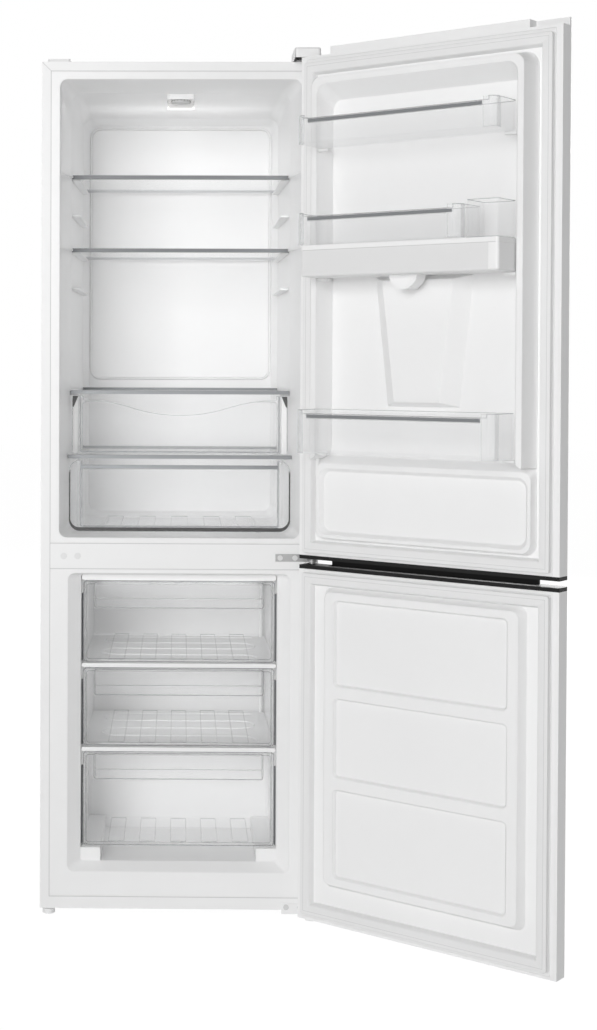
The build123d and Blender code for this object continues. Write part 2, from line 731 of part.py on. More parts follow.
def fridge_liner():
    """Moulded fridge lining with its flange, shelf ladder and floor rails."""
    inner = HALF - FRONT_FLANGE
    flange = block(-inner, inner, FRONT, FRONT + LINER, CROSSBAR_HIGH, CASE_TOP - FRONT_FLANGE)
    body = flange + fridge_space(LINER) - fridge_space()
    rear = shelf_rear() - TRIM_DEPTH
    front = SHELF_SETBACK + TRIM_DEPTH + LEDGE_START
    for rung in range(RUNG_COUNT):
        top = ledge_top(SHELF_TOP - rung * RUNG_PITCH)
        body += ledges(top, front, rear, fridge_half, LEDGE_REACH, LEDGE_HEIGHT)
    for top, setback in ((CHILL_COVER_TOP, CHILL_COVER_SETBACK), (CRISPER_COVER_TOP, CRISPER_SETBACK)):
        front = max(setback + TRIM_DEPTH + LEDGE_START, FLARE_DEPTH)
        body += ledges(ledge_top(top), front, rear, fridge_half, LEDGE_REACH, LEDGE_HEIGHT)
    start = FRONT + FLARE_DEPTH
    rail = block(CRISPER_RAIL_X, CRISPER_RAIL_X + CRISPER_RAIL_WIDTH,
                 start, start + CRISPER_DEPTH - CRISPER_RAIL_SHORT,
                 FLOOR_LEVEL - LINER / 2, FLOOR_LEVEL + RAIL_HEIGHT)
    return body + both_sides(rail)


def freezer_liner():
    """Moulded freezer lining with its flange, sills and shelf ledges."""
    inner = HALF - FRONT_FLANGE
    flange = block(-inner, inner, FRONT, FRONT + LINER, FLOOR_GAP + BOTTOM_FLANGE, CROSSBAR_LOW)
    body = flange + freezer_space(LINER) - freezer_space()
    sill = block(FREEZER_WAIST - SILL_WIDTH, HALF, FRONT + BEVEL_DEPTH, BACK,
                 FLOOR_GAP, FREEZER_LEVEL + SILL_HEIGHT)
    body += both_sides(sill & freezer_space(LINER / 2))
    for bottom in strip_bottoms():
        top = bottom + LINER
        body += ledges(top, STRIP_SETBACK + STRIP_THICK + FREEZER_LEDGE_START,
                       FREEZER_DEPTH - FREEZER_LEDGE_SHORT, freezer_half, FREEZER_LEDGE_REACH, LINER)
    return body


def strip_bottoms():
    """Lower edges of the freezer shelves' front strips."""
    heights = (TOP_STRIP_HEIGHT, STRIP_HEIGHT, STRIP_HEIGHT)
    return [top - height for top, height in zip(EVAPORATOR_TOPS, heights)]


# ---------------------------------------------------------------- case

def outer_shell():
    """Steel top and sides, folded inwards round the front."""
    body = block(-HALF, HALF, FRONT, BACK, FLOOR_GAP, CASE_TOP)
    body -= block(-HALF + SHEET, HALF - SHEET, FRONT, BACK, FLOOR_GAP, CASE_TOP - SHEET)
    side = block(HALF - FRONT_FLANGE, HALF, FRONT, FRONT + SHEET, FLOOR_GAP, CASE_TOP)
    top = block(-HALF, HALF, FRONT, FRONT + SHEET, CASE_TOP - FRONT_FLANGE, CASE_TOP)
    return body + both_sides(side) + top - screw_shanks()


def rear_panel():
    """Steel back, stepped inwards over the machine bay."""
    inside = HALF - SHEET
    back = block(-inside, inside, BACK - SHEET, BACK, BAY_TOP, CASE_TOP - SHEET)
    roof = block(-inside, inside, BAY_FRONT, BACK, BAY_TOP, BAY_TOP + SHEET)
    riser = block(-inside, inside, BAY_FRONT - SHEET, BAY_FRONT, PAN_TOP, BAY_TOP + SHEET)
    return back + roof + riser


def base_pan():
    """Steel floor of the case, with the front rail, roller slots and axle lugs."""
    inside = HALF - SHEET
    pan = block(-inside, inside, FRONT + LINER, BACK, FLOOR_GAP, PAN_TOP)
    width = HALF - FRONT_FLANGE
    pan += block(-width, width, FRONT, FRONT + SHEET, FLOOR_GAP, FLOOR_GAP + BOTTOM_FLANGE)
    pan += block(-width, width, FRONT, FRONT + LINER, FLOOR_GAP, PAN_TOP)
    x0, x1 = roller_span()
    y = BACK - ROLLER_SETBACK
    reach = ROLLER_RADIUS + ROLLER_GAP
    slot = block(x0 - ROLLER_GAP, x1 + ROLLER_GAP, y - reach, y + reach, FLOOR_GAP, PAN_TOP)
    pan -= both_sides(slot)
    for x in (x0 - ROLLER_GAP - LUG, x1 + ROLLER_GAP):
        lug = block(x, x + LUG, y - LUG_HALF, y + LUG_HALF,
                    ROLLER_RADIUS - AXLE_RADIUS - LUG_EDGE, FLOOR_GAP)
        pan += both_sides(lug)
    pan -= bar_x(-HALF, HALF, y, ROLLER_RADIUS, AXLE_RADIUS + RUN_GAP)
    pan -= both_sides(post(foot_x(), foot_y(), FLOOR_GAP, PAN_TOP, STUD_RADIUS + RUN_GAP))
    return pan - screw_shanks()


def machine_bay():
    """Open space for the compressor, with the sheet round it."""
    return block(-HALF, HALF, BAY_FRONT - SHEET, BACK, FLOOR_GAP, BAY_TOP + SHEET)


def cabinet_foam():
    """Insulation between the steel case and the two linings."""
    inside = HALF - SHEET
    foam = block(-inside, inside, FRONT + LINER, BACK - SHEET, PAN_TOP, CASE_TOP - SHEET)
    foam -= fridge_space(LINER)
    foam -= freezer_space(LINER)
    foam -= machine_bay()
    foam -= evaporator_plate()
    pocket = post(foot_x(), foot_y(), PAN_TOP, PAN_TOP + STUD_RISE, STUD_RADIUS + STUD_POCKET)
    foam -= both_sides(pocket)
    return foam - screw_shanks()


def evaporator_plate():
    """Plate evaporator pressed against the back of the fridge lining."""
    y = FRONT + FRIDGE_DEPTH + LINER
    half = fridge_half(FRIDGE_DEPTH - BACK_CORNER_DEPTH) - 2 * BACK_CORNER_SIDE
    low = CHILL_COVER_TOP + PLATE_LIFT
    return slab(half, low, FRIDGE_HIGH - PLATE_DROP, PLATE_CORNER, y, y + EVAPORATOR_PLATE)


def crossbar_cover():
    """Moulded cover of the bar between the compartments."""
    half = HALF - FRONT_FLANGE
    return block(-half, half, FRONT, FRONT + LINER, CROSSBAR_LOW, CROSSBAR_HIGH) - screw_shanks()


# ---------------------------------------------------------------- screws and covers

def middle_plate_z():
    """Middle height of the middle hinge plate."""
    return (CROSSBAR_LOW + CROSSBAR_HIGH) / 2 - MIDDLE_PLATE_DROP


def front_screws():
    """Places of the screws on the front: (x, z, thickness under the head)."""
    low = FLOOR_GAP + BOTTOM_SCREW_RISE
    middle = [(HINGE_X - inset, middle_plate_z(), HINGE_PLATE) for inset in MIDDLE_SCREWS]
    bottom = [(HINGE_X - inset, low, HINGE_PLATE) for inset in BOTTOM_SCREWS]
    return middle + bottom


def cap_screws():
    """Places of the capped screws on the left of the crossbar."""
    middle = (CROSSBAR_LOW + CROSSBAR_HIGH) / 2
    return [(-HALF + inset, middle) for inset in CAP_SCREWS]


def top_screws():
    """Plan places of the screws in the top hinge bracket."""
    return [(HINGE_X - inset, FRONT + setback) for inset, setback in TOP_SCREWS]


def screw_shanks(grow=0.0):
    """All screw shanks, which also cut their holes."""
    shanks = None
    for x, z, under in front_screws():
        shank = bar_y(x, FRONT - under, FRONT + SCREW_LENGTH, z, SCREW_SHANK + grow)
        shanks = shank if shanks is None else shanks + shank
    for x, z in cap_screws():
        shanks += bar_y(x, FRONT, FRONT + SCREW_LENGTH, z, SCREW_SHANK + grow)
    for x, y in top_screws():
        shanks += post(x, y, CASE_TOP - SCREW_LENGTH, CASE_TOP + BRACKET, SCREW_SHANK + grow)
    return shanks


def hinge_screws():
    """Pan head screws of the three hinge brackets and the crossbar."""
    screws = screw_shanks()
    for x, z, under in front_screws():
        screws += bar_y(x, FRONT - under - SCREW_HEAD_HEIGHT, FRONT - under, z, SCREW_HEAD)
    for x, y in top_screws():
        screws += post(x, y, CASE_TOP + BRACKET, CASE_TOP + BRACKET + SCREW_HEAD_HEIGHT, SCREW_HEAD)
    return screws


def hole_covers():
    """Covers of the unused hinge places: a low lid on top and two screw caps."""
    x0, y0 = -HALF + BLANK_INSET, FRONT + BLANK_SETBACK
    covers = upright(x0, x0 + BLANK_WIDTH, y0, y0 + BLANK_DEPTH, BLANK_CORNER,
                     CASE_TOP, CASE_TOP + BLANK_HEIGHT)
    for x, z in cap_screws():
        covers += bar_y(x, FRONT - CAP_HEIGHT, FRONT, z, SCREW_HEAD + CAP_RIM)
    return covers


# ---------------------------------------------------------------- hinges

def top_hinge_bracket():
    """Top bracket: a plate on the case, an arm over the door and a pin."""
    top = CASE_TOP + BRACKET
    right = HINGE_X + TOP_PLATE_RIGHT
    front = FRONT + TOP_PLATE_SETBACK
    plate = block(HINGE_X - TOP_PLATE_LEFT, right, front, front + TOP_PLATE_DEPTH, CASE_TOP, top)
    arm = block(HINGE_X - TOP_ARM_LEFT, right, HINGE_Y - TOP_ARM_NOSE, front + BRACKET,
                CASE_TOP + TOP_ARM_LIFT, top)
    pin = post(HINGE_X, HINGE_Y, CASE_TOP - PIN_LENGTH, top, PIN_RADIUS)
    return plate + arm + pin - screw_shanks()


def top_hinge_cover():
    """Moulded cover that clips over the top bracket."""
    x0, x1 = HINGE_X - COVER_LEFT, HALF - COVER_SIDE_GAP
    y0, y1 = HINGE_Y - COVER_NOSE, FRONT + COVER_DEPTH
    high = CASE_TOP + COVER_HEIGHT
    cover = upright(x0, x1, y0, y1, COVER_CORNER, CASE_TOP + COVER_LIFT, high)
    cover += upright(x0, x1, FRONT + TOP_PLATE_SETBACK, y1, COVER_SKIRT_CORNER,
                     CASE_TOP, CASE_TOP + COVER_SKIRT)
    cover = chamfer(cover.edges().group_by(Axis.Z)[-1], COVER_EDGE)
    wall = COVER_WALL
    return cover - block(x0 + wall, x1 - wall, y0 + wall, y1 - wall, CASE_TOP, high - wall)


def middle_hinge_bracket():
    """Middle bracket on the crossbar, with a pin up and a pin down."""
    middle = middle_plate_z()
    plate = block(HINGE_X - MIDDLE_PLATE_LEFT, HALF - PLATE_SIDE_GAP, FRONT - HINGE_PLATE, FRONT,
                  middle - MIDDLE_PLATE_HALF, middle + MIDDLE_PLATE_HALF)
    arm = bracket_arm(DOOR_SPLIT - BRACKET / 2)
    reach = SPLIT_GAP / 2 + PIN_LENGTH
    pins = post(HINGE_X, HINGE_Y, DOOR_SPLIT - reach, DOOR_SPLIT + reach, PIN_RADIUS)
    reach = SPLIT_GAP / 2 - WASHER_GAP
    washer = post(HINGE_X, HINGE_Y, DOOR_SPLIT - reach, DOOR_SPLIT + reach, WASHER_RADIUS)
    return plate + arm + pins + washer - screw_shanks()


def bracket_arm(low):
    """Arm of a front bracket, rounded about the hinge line."""
    arm = block(HINGE_X - ARM_HALF, HINGE_X + ARM_HALF, HINGE_Y, FRONT, low, low + BRACKET)
    return arm + post(HINGE_X, HINGE_Y, low, low + BRACKET, ARM_HALF)


def bottom_hinge_bracket():
    """Bottom bracket under the lower door, with its pin."""
    low = FLOOR_GAP - BOTTOM_ARM_DROP
    plate = block(HINGE_X - BOTTOM_PLATE_LEFT, HALF - PLATE_SIDE_GAP, FRONT - HINGE_PLATE, FRONT,
                  low, FLOOR_GAP + BOTTOM_PLATE_RISE)
    pin = post(HINGE_X, HINGE_Y, low, DOOR_FLOOR_GAP + PIN_LENGTH, PIN_RADIUS)
    washer = post(HINGE_X, HINGE_Y, low, DOOR_FLOOR_GAP - BOTTOM_WASHER_GAP, WASHER_RADIUS)
    return plate + bracket_arm(low) + pin + washer - screw_shanks()


def hinge_bore(z0, z1):
    """Bore for a hinge pin, in the shut door."""
    return post(HINGE_X, HINGE_Y, z0, z1, PIN_RADIUS + RUN_GAP)


def hinge_boss(z0, z1):
    """Round boss that carries a hinge bore."""
    return post(HINGE_X, HINGE_Y, z0, z1, BOSS_RADIUS)


# ---------------------------------------------------------------- lamp and dial

def dial_shaft(radius, length):
    """Shaft of the thermostat dial, inside the housing."""
    z0 = CEILING_FRONT - LAMP_DROP
    return post(0, FRONT + DIAL_SETBACK, z0, z0 + length, radius)


def lamp_housing():
    """Housing under the ceiling that holds the dial and the lens."""
    low = CEILING_FRONT - LAMP_DROP
    y0 = FRONT + LAMP_SETBACK
    body = upright(-LAMP_HALF, LAMP_HALF, y0, y0 + LAMP_LENGTH, LAMP_CORNER, low, CEILING_FRONT + LAMP_SUNK)
    body = body & fridge_space()
    recess = post(0, FRONT + DIAL_SETBACK, low, low + DIAL_HEIGHT / 2 + DIAL_GAP, DIAL_RADIUS + DIAL_GAP)
    return body - recess - dial_shaft(SHAFT_RADIUS + RUN_GAP, SHAFT_LENGTH + SEAT_GAP)


def lamp_lens():
    """Diffuser that wraps round the back of the dial."""
    high = CEILING_FRONT - LAMP_DROP
    y0 = FRONT + DIAL_SETBACK - LENS_LEAD
    y1 = FRONT + LAMP_SETBACK + LAMP_LENGTH - LENS_SHORT
    half = LAMP_HALF - LENS_INSET
    gap = DIAL_RADIUS + LENS_DIAL_GAP
    lens = upright(-half, half, y0, y1, LENS_CORNER, high - LENS_DROP, high)
    lens -= post(0, FRONT + DIAL_SETBACK, high - LENS_DROP, high, gap)
    return lens - block(-gap, gap, y0, FRONT + DIAL_SETBACK, high - LENS_DROP, high)


def thermostat_dial():
    """Temperature dial on its shaft."""
    low = CEILING_FRONT - LAMP_DROP - DIAL_HEIGHT / 2
    dial = post(0, FRONT + DIAL_SETBACK, low, low + DIAL_HEIGHT, DIAL_RADIUS)
    dial = chamfer(dial.edges().group_by(Axis.Z)[0], DIAL_EDGE)
    return dial + dial_shaft(SHAFT_RADIUS, SHAFT_LENGTH)


# ---------------------------------------------------------------- fridge shelves and trays

def glass_plate(top, setback):
    """Glass between the front and rear trims, following the side walls."""
    outline = wall_outline(setback + GLASS_INSET, shelf_rear() - GLASS_INSET, GLASS_SIDE_GAP,
                           fridge_half, FLARE_DEPTH)
    return prism_z(outline, top - TRIM_LIP - GLASS, top - TRIM_LIP)


def shelf_trims(top, setback):
    """Front and rear trims that grip the glass."""
    front = wall_outline(setback, setback + TRIM_DEPTH, TRIM_SIDE_GAP, fridge_half)
    rear = wall_outline(shelf_rear() - REAR_TRIM_DEPTH, shelf_rear(), TRIM_SIDE_GAP, fridge_half)
    low = top - TRIM_LIP - GLASS
    trims = prism_z(front, top - TRIM_HEIGHT, top)
    trims += prism_z(rear, low, low + REAR_TRIM_HEIGHT)
    return trims - glass_plate(top, setback)


def lower_shelf_top():
    """Top of the second glass shelf."""
    return SHELF_TOP - LOWER_SHELF_RUNG * RUNG_PITCH


def compartment_covers(make):
    """The two fixed covers over the chill tray and the crisper."""
    return make(CHILL_COVER_TOP, CHILL_COVER_SETBACK) + make(CRISPER_COVER_TOP, CRISPER_SETBACK)


def tray_half(rear):
    """Half width of a tray that clears the walls at its rear."""
    return fridge_half(rear) - TRAY_SIDE_GAP


def chill_tray():
    """Clear tray over the crisper, its front wall cut to a wave."""
    front = SHELF_SETBACK
    low = CRISPER_COVER_TOP + SLIDE_GAP
    high = ledge_top(CHILL_COVER_TOP) - LEDGE_HEIGHT - CHILL_TOP_GAP
    half = tray_half(front + CHILL_DEPTH)
    y0 = FRONT + front
    body = tray(-half, half, y0, y0 + CHILL_DEPTH, CHILL_CORNER, low, high, TRAY_WALL, TRAY_TURN)
    wide = fridge_half(front) - CHILL_FRONT_GAP
    frame = slab(wide, low, high, CHILL_CORNER, y0 - FRONT_PANEL, y0)
    frame -= slab(half - CHILL_BORDER, low + CHILL_BORDER, high - CHILL_BORDER, CHILL_CORNER,
                  y0 - FRONT_PANEL, y0)
    return body + frame - chill_wave(half - CHILL_BORDER - WAVE_INSET, high, y0)


def chill_wave(half, high, y0):
    """Wave-shaped cut along the top of the chill tray's front wall."""
    edge = high - WAVE_TOP
    turn = edge - CHILL_DIP / 2
    left = TangentArc((-half, edge), (-half / 2, turn), tangent=(1, 0))
    middle = ThreePointArc((-half / 2, turn), (0, edge - CHILL_DIP), (half / 2, turn))
    right = TangentArc((half, edge), (half / 2, turn), tangent=(-1, 0))
    lid = Polyline((half, edge), (half, high + OVERCUT), (-half, high + OVERCUT), (-half, edge))
    face = make_face([left, middle, right, lid])
    return extrude(facing(y0 + TRAY_WALL, 0.0) * face, TRAY_WALL + FRONT_PANEL + OVERCUT)


def crisper_drawer():
    """Clear vegetable drawer with a wide rounded front."""
    low = FLOOR_LEVEL + RAIL_HEIGHT + SLIDE_GAP
    high = crisper_top()
    half = tray_half(CRISPER_SETBACK + CRISPER_DEPTH)
    y0 = FRONT + CRISPER_SETBACK + FRONT_PANEL
    body = tray(-half, half, y0, y0 + CRISPER_DEPTH, CRISPER_CORNER, low, high, TRAY_WALL, CRISPER_TURN)
    wide = fridge_half(CRISPER_SETBACK) - CRISPER_FRONT_GAP
    body += slab(wide, low, high + CRISPER_LIP, CRISPER_FRONT_RADIUS, y0 - FRONT_PANEL, y0)
    body = body - crisper_grip_space() + crisper_grip()
    return body + floor_pads(half, y0, CRISPER_DEPTH, low + TRAY_WALL)


def crisper_top():
    """Top of the crisper's walls."""
    return ledge_top(CRISPER_COVER_TOP) - LEDGE_HEIGHT - CRISPER_TOP_GAP


def floor_pads(half, y0, depth, floor):
    """Low pads along a drawer's floor."""
    pads = None
    step = 2 * half / (FLOOR_PADS + 1)
    for n in range(FLOOR_PADS):
        x = (n - (FLOOR_PADS - 1) / 2) * step
        pad = block(x - step / 4, x + step / 4, y0 + PAD_INSET, y0 + depth - PAD_INSET,
                    floor, floor + PAD_RISE)
        pads = pad if pads is None else pads + pad
    return pads


def crisper_grip_space():
    """Finger gap over the crisper's front wall."""
    y0 = FRONT + CRISPER_SETBACK
    high = crisper_top() + CRISPER_LIP
    return block(-CRISPER_GRIP_HALF, CRISPER_GRIP_HALF, y0, y0 + FRONT_PANEL + TRAY_WALL,
                 crisper_top() - CRISPER_GRIP_HEIGHT, high)


def crisper_grip():
    """Grip bar along the crisper's front edge."""
    high = crisper_top() - CRISPER_GRIP_HEIGHT
    y0 = FRONT + CRISPER_SETBACK
    front = y0 - CRISPER_GRIP_BAR
    bar = block(-CRISPER_GRIP_HALF, CRISPER_GRIP_HALF, front, y0 + FRONT_PANEL + TRAY_WALL,
                high, high + CRISPER_GRIP_BAR)
    return bar + block(-CRISPER_GRIP_HALF, CRISPER_GRIP_HALF, front, y0, high - CRISPER_GRIP_DROP, high)


# ---------------------------------------------------------------- freezer shelves and drawers

def coil(half, y0, y1, z, passes, radius, tails=()):
    """Flat serpentine tube: straight passes along X joined by half turns."""
    pitch = (y1 - y0) / (passes - 1)
    points = list(tails)
    for n in range(passes):
        ends = (-half, half) if n % 2 == 0 else (half, -half)
        points += [(x, y0 + n * pitch, z) for x in ends]
    path = FilletPolyline(*points, radius=pitch * 0.45)
    start = Plane(origin=path @ 0, z_dir=path % 0)
    return sweep(start * Circle(radius), path=path)


def shelf_evaporator():
    """Welded freezer evaporator: three coil shelves with strips and a riser."""
    rear = FREEZER_DEPTH - EVAPORATOR_REAR_GAP
    half = freezer_half(rear) - EVAPORATOR_SIDE_GAP
    y0 = FRONT + STRIP_SETBACK
    strip_half = freezer_half(STRIP_SETBACK) - STRIP_SIDE_GAP
    body = None
    for top, bottom in zip(EVAPORATOR_TOPS, strip_bottoms()):
        z = bottom + LINER + SEAT_GAP
        corner = min(FREEZER_RADIUS - LINER, (top - bottom) / 2 - SLIDE_GAP)
        shelf = slab(strip_half, bottom, top, corner, y0, y0 + STRIP_THICK)
        shelf += block(-half, half, y0 + STRIP_THICK, FRONT + rear, z, z + EVAPORATOR_SHEET)
        shelf += coil(half - EVAPORATOR_EDGE, y0 + COIL_SETBACK, FRONT + rear - EVAPORATOR_EDGE,
                      z + EVAPORATOR_SHEET, EVAPORATOR_PASSES, EVAPORATOR_TUBE)
        body = shelf if body is None else body + shelf
    low = strip_bottoms()[-1] + LINER + SEAT_GAP
    high = strip_bottoms()[0] + LINER + SEAT_GAP + EVAPORATOR_SHEET
    return body + post(half - RISER_INSET, FRONT + rear - RISER_SETBACK, low, high, RISER_RADIUS)


def drawer_range(level):
    """Lower and upper edge of a freezer drawer, counted from the top."""
    high = strip_bottoms()[level] - DRAWER_TOP_GAP
    if level + 1 < len(EVAPORATOR_TOPS):
        return EVAPORATOR_TOPS[level + 1] + SLIDE_GAP, high
    return FREEZER_LEVEL + SILL_HEIGHT + SLIDE_GAP, high


def freezer_drawer(level, depth):
    """Clear drawer with a framed front and a flap grip."""
    low, high = drawer_range(level)
    y0 = FRONT + DRAWER_SETBACK
    half = freezer_half(DRAWER_SETBACK + DRAWER_DEPTH) - DRAWER_BODY_GAP
    body = tray(-half, half, y0, y0 + depth, DRAWER_CORNER, low, high, DRAWER_WALL, TRAY_TURN)
    wide = freezer_half(DRAWER_SETBACK) - DRAWER_SIDE_GAP
    body += slab(wide, low, high, DRAWER_PANEL_CORNER, y0 - DRAWER_PANEL, y0 + DRAWER_WALL)
    body += drawer_flap(high, y0 - DRAWER_PANEL)
    return body + floor_pads(half, y0, depth, low + DRAWER_WALL)


def drawer_flap(high, y0):
    """Grip that hangs in front of a drawer, open below for the fingers."""
    front = y0 + DRAWER_PANEL - FLAP_REACH
    low, top = high - FLAP_HEIGHT, high - FLAP_TOP_GAP
    inner = FLAP_HALF - FLAP_WALL
    grip = slab(FLAP_HALF, low, top, FLAP_CORNER, front, y0)
    return grip - block(-inner, inner, front + FLAP_WALL, y0, low, top - FLAP_WALL)


# ---------------------------------------------------------------- doors

def door_plan(inset):
    """Door outline in plan, the two outer corners rounded."""
    plan = Rectangle(CASE_WIDTH - 2 * inset, DOOR_THICK - 2 * inset)
    plan = fillet(plan.vertices().group_by(Axis.Y)[0], DOOR_EDGE_RADIUS - inset)
    return Pos(0, (INNER + OUTER) / 2, 0) * plan


def door_layer(inset, z0, z1):
    """Horizontal slice of a door."""
    return Pos(0, 0, z0) * extrude(door_plan(inset), z1 - z0)


def door_skin(z0, z1):
    """Folded steel skin, open at the top, bottom and inner face."""
    skin = door_layer(0.0, z0, z1) - door_layer(SHEET, z0, z1)
    mouth = HALF - SKIN_RETURN
    return skin - block(-mouth, mouth, INNER - SHEET, INNER, z0, z1)


def door_core(z0, z1):
    """Foam space between the skin and the lining plate."""
    core = door_layer(SHEET, z0, z1)
    return core - block(-HALF, HALF, INNER - LINER, INNER, z0, z1)


def lining_plate(z0, z1):
    """Flat sheet of a door lining."""
    mouth = HALF - SKIN_RETURN
    return block(-mouth, mouth, INNER - LINER, INNER, z0, z1)


def gasket(z0, z1):
    """Door seal: a flat foot and a narrower magnet bulb."""
    edge = SKIN_RETURN
    outer, low, high = HALF - edge, z0 + edge, z1 - edge
    base = INNER + GASKET_BASE
    tip = INNER + GASKET_GAP - GASKET_TOUCH
    trim = (GASKET_WIDTH - GASKET_LIP) / 2
    ring = slab(outer, low, high, GASKET_CORNER, INNER, base)
    ring += slab(outer - trim, low + trim, high - trim, BULB_CORNER, base, tip)
    inner = outer - GASKET_WIDTH
    cut = slab(inner, low + GASKET_WIDTH, high - GASKET_WIDTH, GASKET_CORNER, INNER, base)
    cut += slab(inner + trim, low + GASKET_WIDTH - trim, high - GASKET_WIDTH + trim, BULB_CORNER, base, tip)
    return ring - cut


# ---------------------------------------------------------------- upper door

def upper_dike(inset):
    """Raised rim of the upper door lining, down both sides and over the top."""
    base = INNER - (LINER if inset else 0.0)
    tip = INNER + DIKE_HEIGHT - inset
    half = HALF - DIKE_INSET - inset
    low = UPPER_LOW + DIKE_LOW
    high = UPPER_HIGH - DIKE_HIGH - inset
    slope = DIKE_SLOPE
    rim = frustum((base, half, low, high, DIKE_RADIUS),
                  (tip, half - slope, low, high - slope, DIKE_RADIUS - slope))
    grow = 2 * inset
    inner = half - slope - DIKE_WIDTH + grow
    top = high - slope - DIKE_WIDTH + grow
    rim -= frustum((base, inner - DIKE_INNER_SLOPE, low, top - DIKE_TOP_SLOPE, DIKE_RADIUS - slope),
                   (tip, inner, low, top, DIKE_RADIUS - slope))
    rim -= block(-HALF, HALF, base, tip, low, SUMP_TOP + inset)
    return rim - both_sides(dike_curl(inset, base, tip))


def dike_curl(inset, base, tip):
    """What is cut from a dike's lower end so that it curls outwards."""
    x = HALF - DIKE_INSET - DIKE_SLOPE - DIKE_WIDTH - DIKE_INNER_SLOPE
    z = SUMP_TOP
    corner = block(x, x + DIKE_CURL, base, tip, z, z + DIKE_CURL)
    return corner - bar_y(x + DIKE_CURL, base, tip, z + DIKE_CURL, DIKE_CURL - inset)


def sump(inset):
    """Raised lower part of the lining, with its recessed panel."""
    base = INNER - (LINER if inset else 0.0)
    tip = INNER + SUMP_HEIGHT - inset
    half = HALF - DIKE_INSET - inset
    low = UPPER_LOW + DIKE_LOW + inset
    high = SUMP_TOP - inset
    radius = SUMP_PANEL_RADIUS
    body = frustum((base, half, low, high + SUMP_SLOPE / 2, radius),
                   (tip, half - SUMP_DRAFT, low + SUMP_DRAFT, high - SUMP_SLOPE / 2, radius))
    border = SUMP_BORDER + SUMP_DRAFT - 2 * inset
    floor = INNER + SUMP_HEIGHT - SUMP_RECESS - inset
    outer = (tip, half - border, low + border, high - SUMP_SLOPE / 2 - border, radius)
    border += SUMP_PANEL_SLOPE
    inner = (floor, half - border, low + border, high - SUMP_SLOPE / 2 - border, radius)
    return body - frustum(inner, outer)


def bulge(inset):
    """Tapered bulge of the lining over the dispenser niche."""
    base = INNER - (LINER if inset else 0.0)
    tip = INNER + BULGE_HEIGHT - inset
    faces = []
    for y, slope, edge in ((base, 0.0, 0.0), (tip, BULGE_SLOPE, BULGE_EDGE)):
        top = BULGE_HALF_TOP - slope - inset
        low = BULGE_HALF_LOW - slope - inset
        z0, z1 = BULGE_LOW + edge + inset, NICHE_HIGH - BULGE_TOP_GAP - edge - inset
        outline = Polyline((-low, z0), (low, z0), (top, z1), (-top, z1), close=True)
        faces.append(facing(y, 0.0) * make_face(outline))
    return loft(faces, ruled=True)


def upper_forms(inset=0.0):
    """All raised forms of the upper door lining."""
    return upper_dike(inset) + sump(inset) + bulge(inset)


def bin_seats():
    """Small ledges on the dikes that carry the bins and the tank."""
    seats = None
    for floor in (TOP_BIN_FLOOR, LOW_BIN_FLOOR, TANK_FLOOR):
        top = floor - SEAT_GAP
        seat = block(BIN_HALF + SEAT_SLACK - SEAT_REACH, BIN_HALF + SEAT_OVERRUN,
                     INNER + BIN_BACK, INNER + DIKE_HEIGHT - SEAT_FRONT_GAP, top - SEAT_HEIGHT, top)
        seats = both_sides(seat) if seats is None else seats + both_sides(seat)
    return seats


def spout_bore():
    """Way for the tank's spout through the lining, foam and niche wall."""
    return bar_y(0, INNER - SPOUT_END, INNER + BULGE_HEIGHT + OVERCUT,
                 SPOUT_HEIGHT, SPOUT_RADIUS + SPOUT_GAP)


def upper_liner():
    """Moulded lining of the upper door."""
    z0, z1 = UPPER_LOW + CAP, UPPER_HIGH - TOP_CAP
    body = lining_plate(z0, z1) + upper_forms() - upper_forms(LINER)
    return body + bin_seats() - spout_bore()


def niche_body(grow):
    """Outer volume of the dispenser niche."""
    mouth = (OUTER, NICHE_HALF + grow, NICHE_LOW - grow, NICHE_HIGH + grow, NICHE_RADIUS + grow)
    back = (OUTER + NICHE_DEPTH + grow, NICHE_HALF - NICHE_DRAW + grow, NICHE_LOW - grow,
            NICHE_HIGH - NICHE_DROP + grow, NICHE_RADIUS + grow)
    return frustum(mouth, back)


def dispenser_niche():
    """Moulded niche in the door's outer face, with its bezel and lever ears."""
    bezel = slab(NICHE_HALF + BEZEL, NICHE_LOW - BEZEL, NICHE_HIGH + BEZEL, NICHE_RADIUS + BEZEL,
                 OUTER - BEZEL_PROUD, OUTER)
    body = bezel + niche_body(NICHE_WALL) - niche_body(0.0)
    body -= slab(NICHE_HALF, NICHE_LOW, NICHE_HIGH, NICHE_RADIUS, OUTER - BEZEL_PROUD, OUTER)
    back = OUTER + NICHE_DEPTH
    pivot = INNER - LEVER_BEHIND
    x0 = LEVER_HALF + SLIDE_GAP
    ear = block(x0, x0 + LEVER_EAR, pivot - LEVER_HUB, back + NICHE_WALL / 2,
                LEVER_PIVOT - LEVER_EAR_HALF, LEVER_PIVOT + LEVER_EAR_HALF)
    ear -= bar_x(x0, x0 + LEVER_EAR, pivot, LEVER_PIVOT, LEVER_PIN + RUN_GAP)
    return body + both_sides(ear) - spout_bore()


def dispenser_lever():
    """Paddle that hangs in the niche and opens the tank's valve."""
    pivot = INNER - LEVER_BEHIND
    lever = bar_x(-LEVER_HALF, LEVER_HALF, pivot, LEVER_PIVOT, LEVER_HUB)
    lever += slab(LEVER_HALF, LEVER_PIVOT - LEVER_LENGTH, LEVER_PIVOT, LEVER_CORNER,
                  pivot - LEVER_THICK / 2, pivot + LEVER_THICK / 2)
    pin_end = LEVER_HALF + SLIDE_GAP + LEVER_EAR
    return lever + bar_x(-pin_end, pin_end, pivot, LEVER_PIVOT, LEVER_PIN)


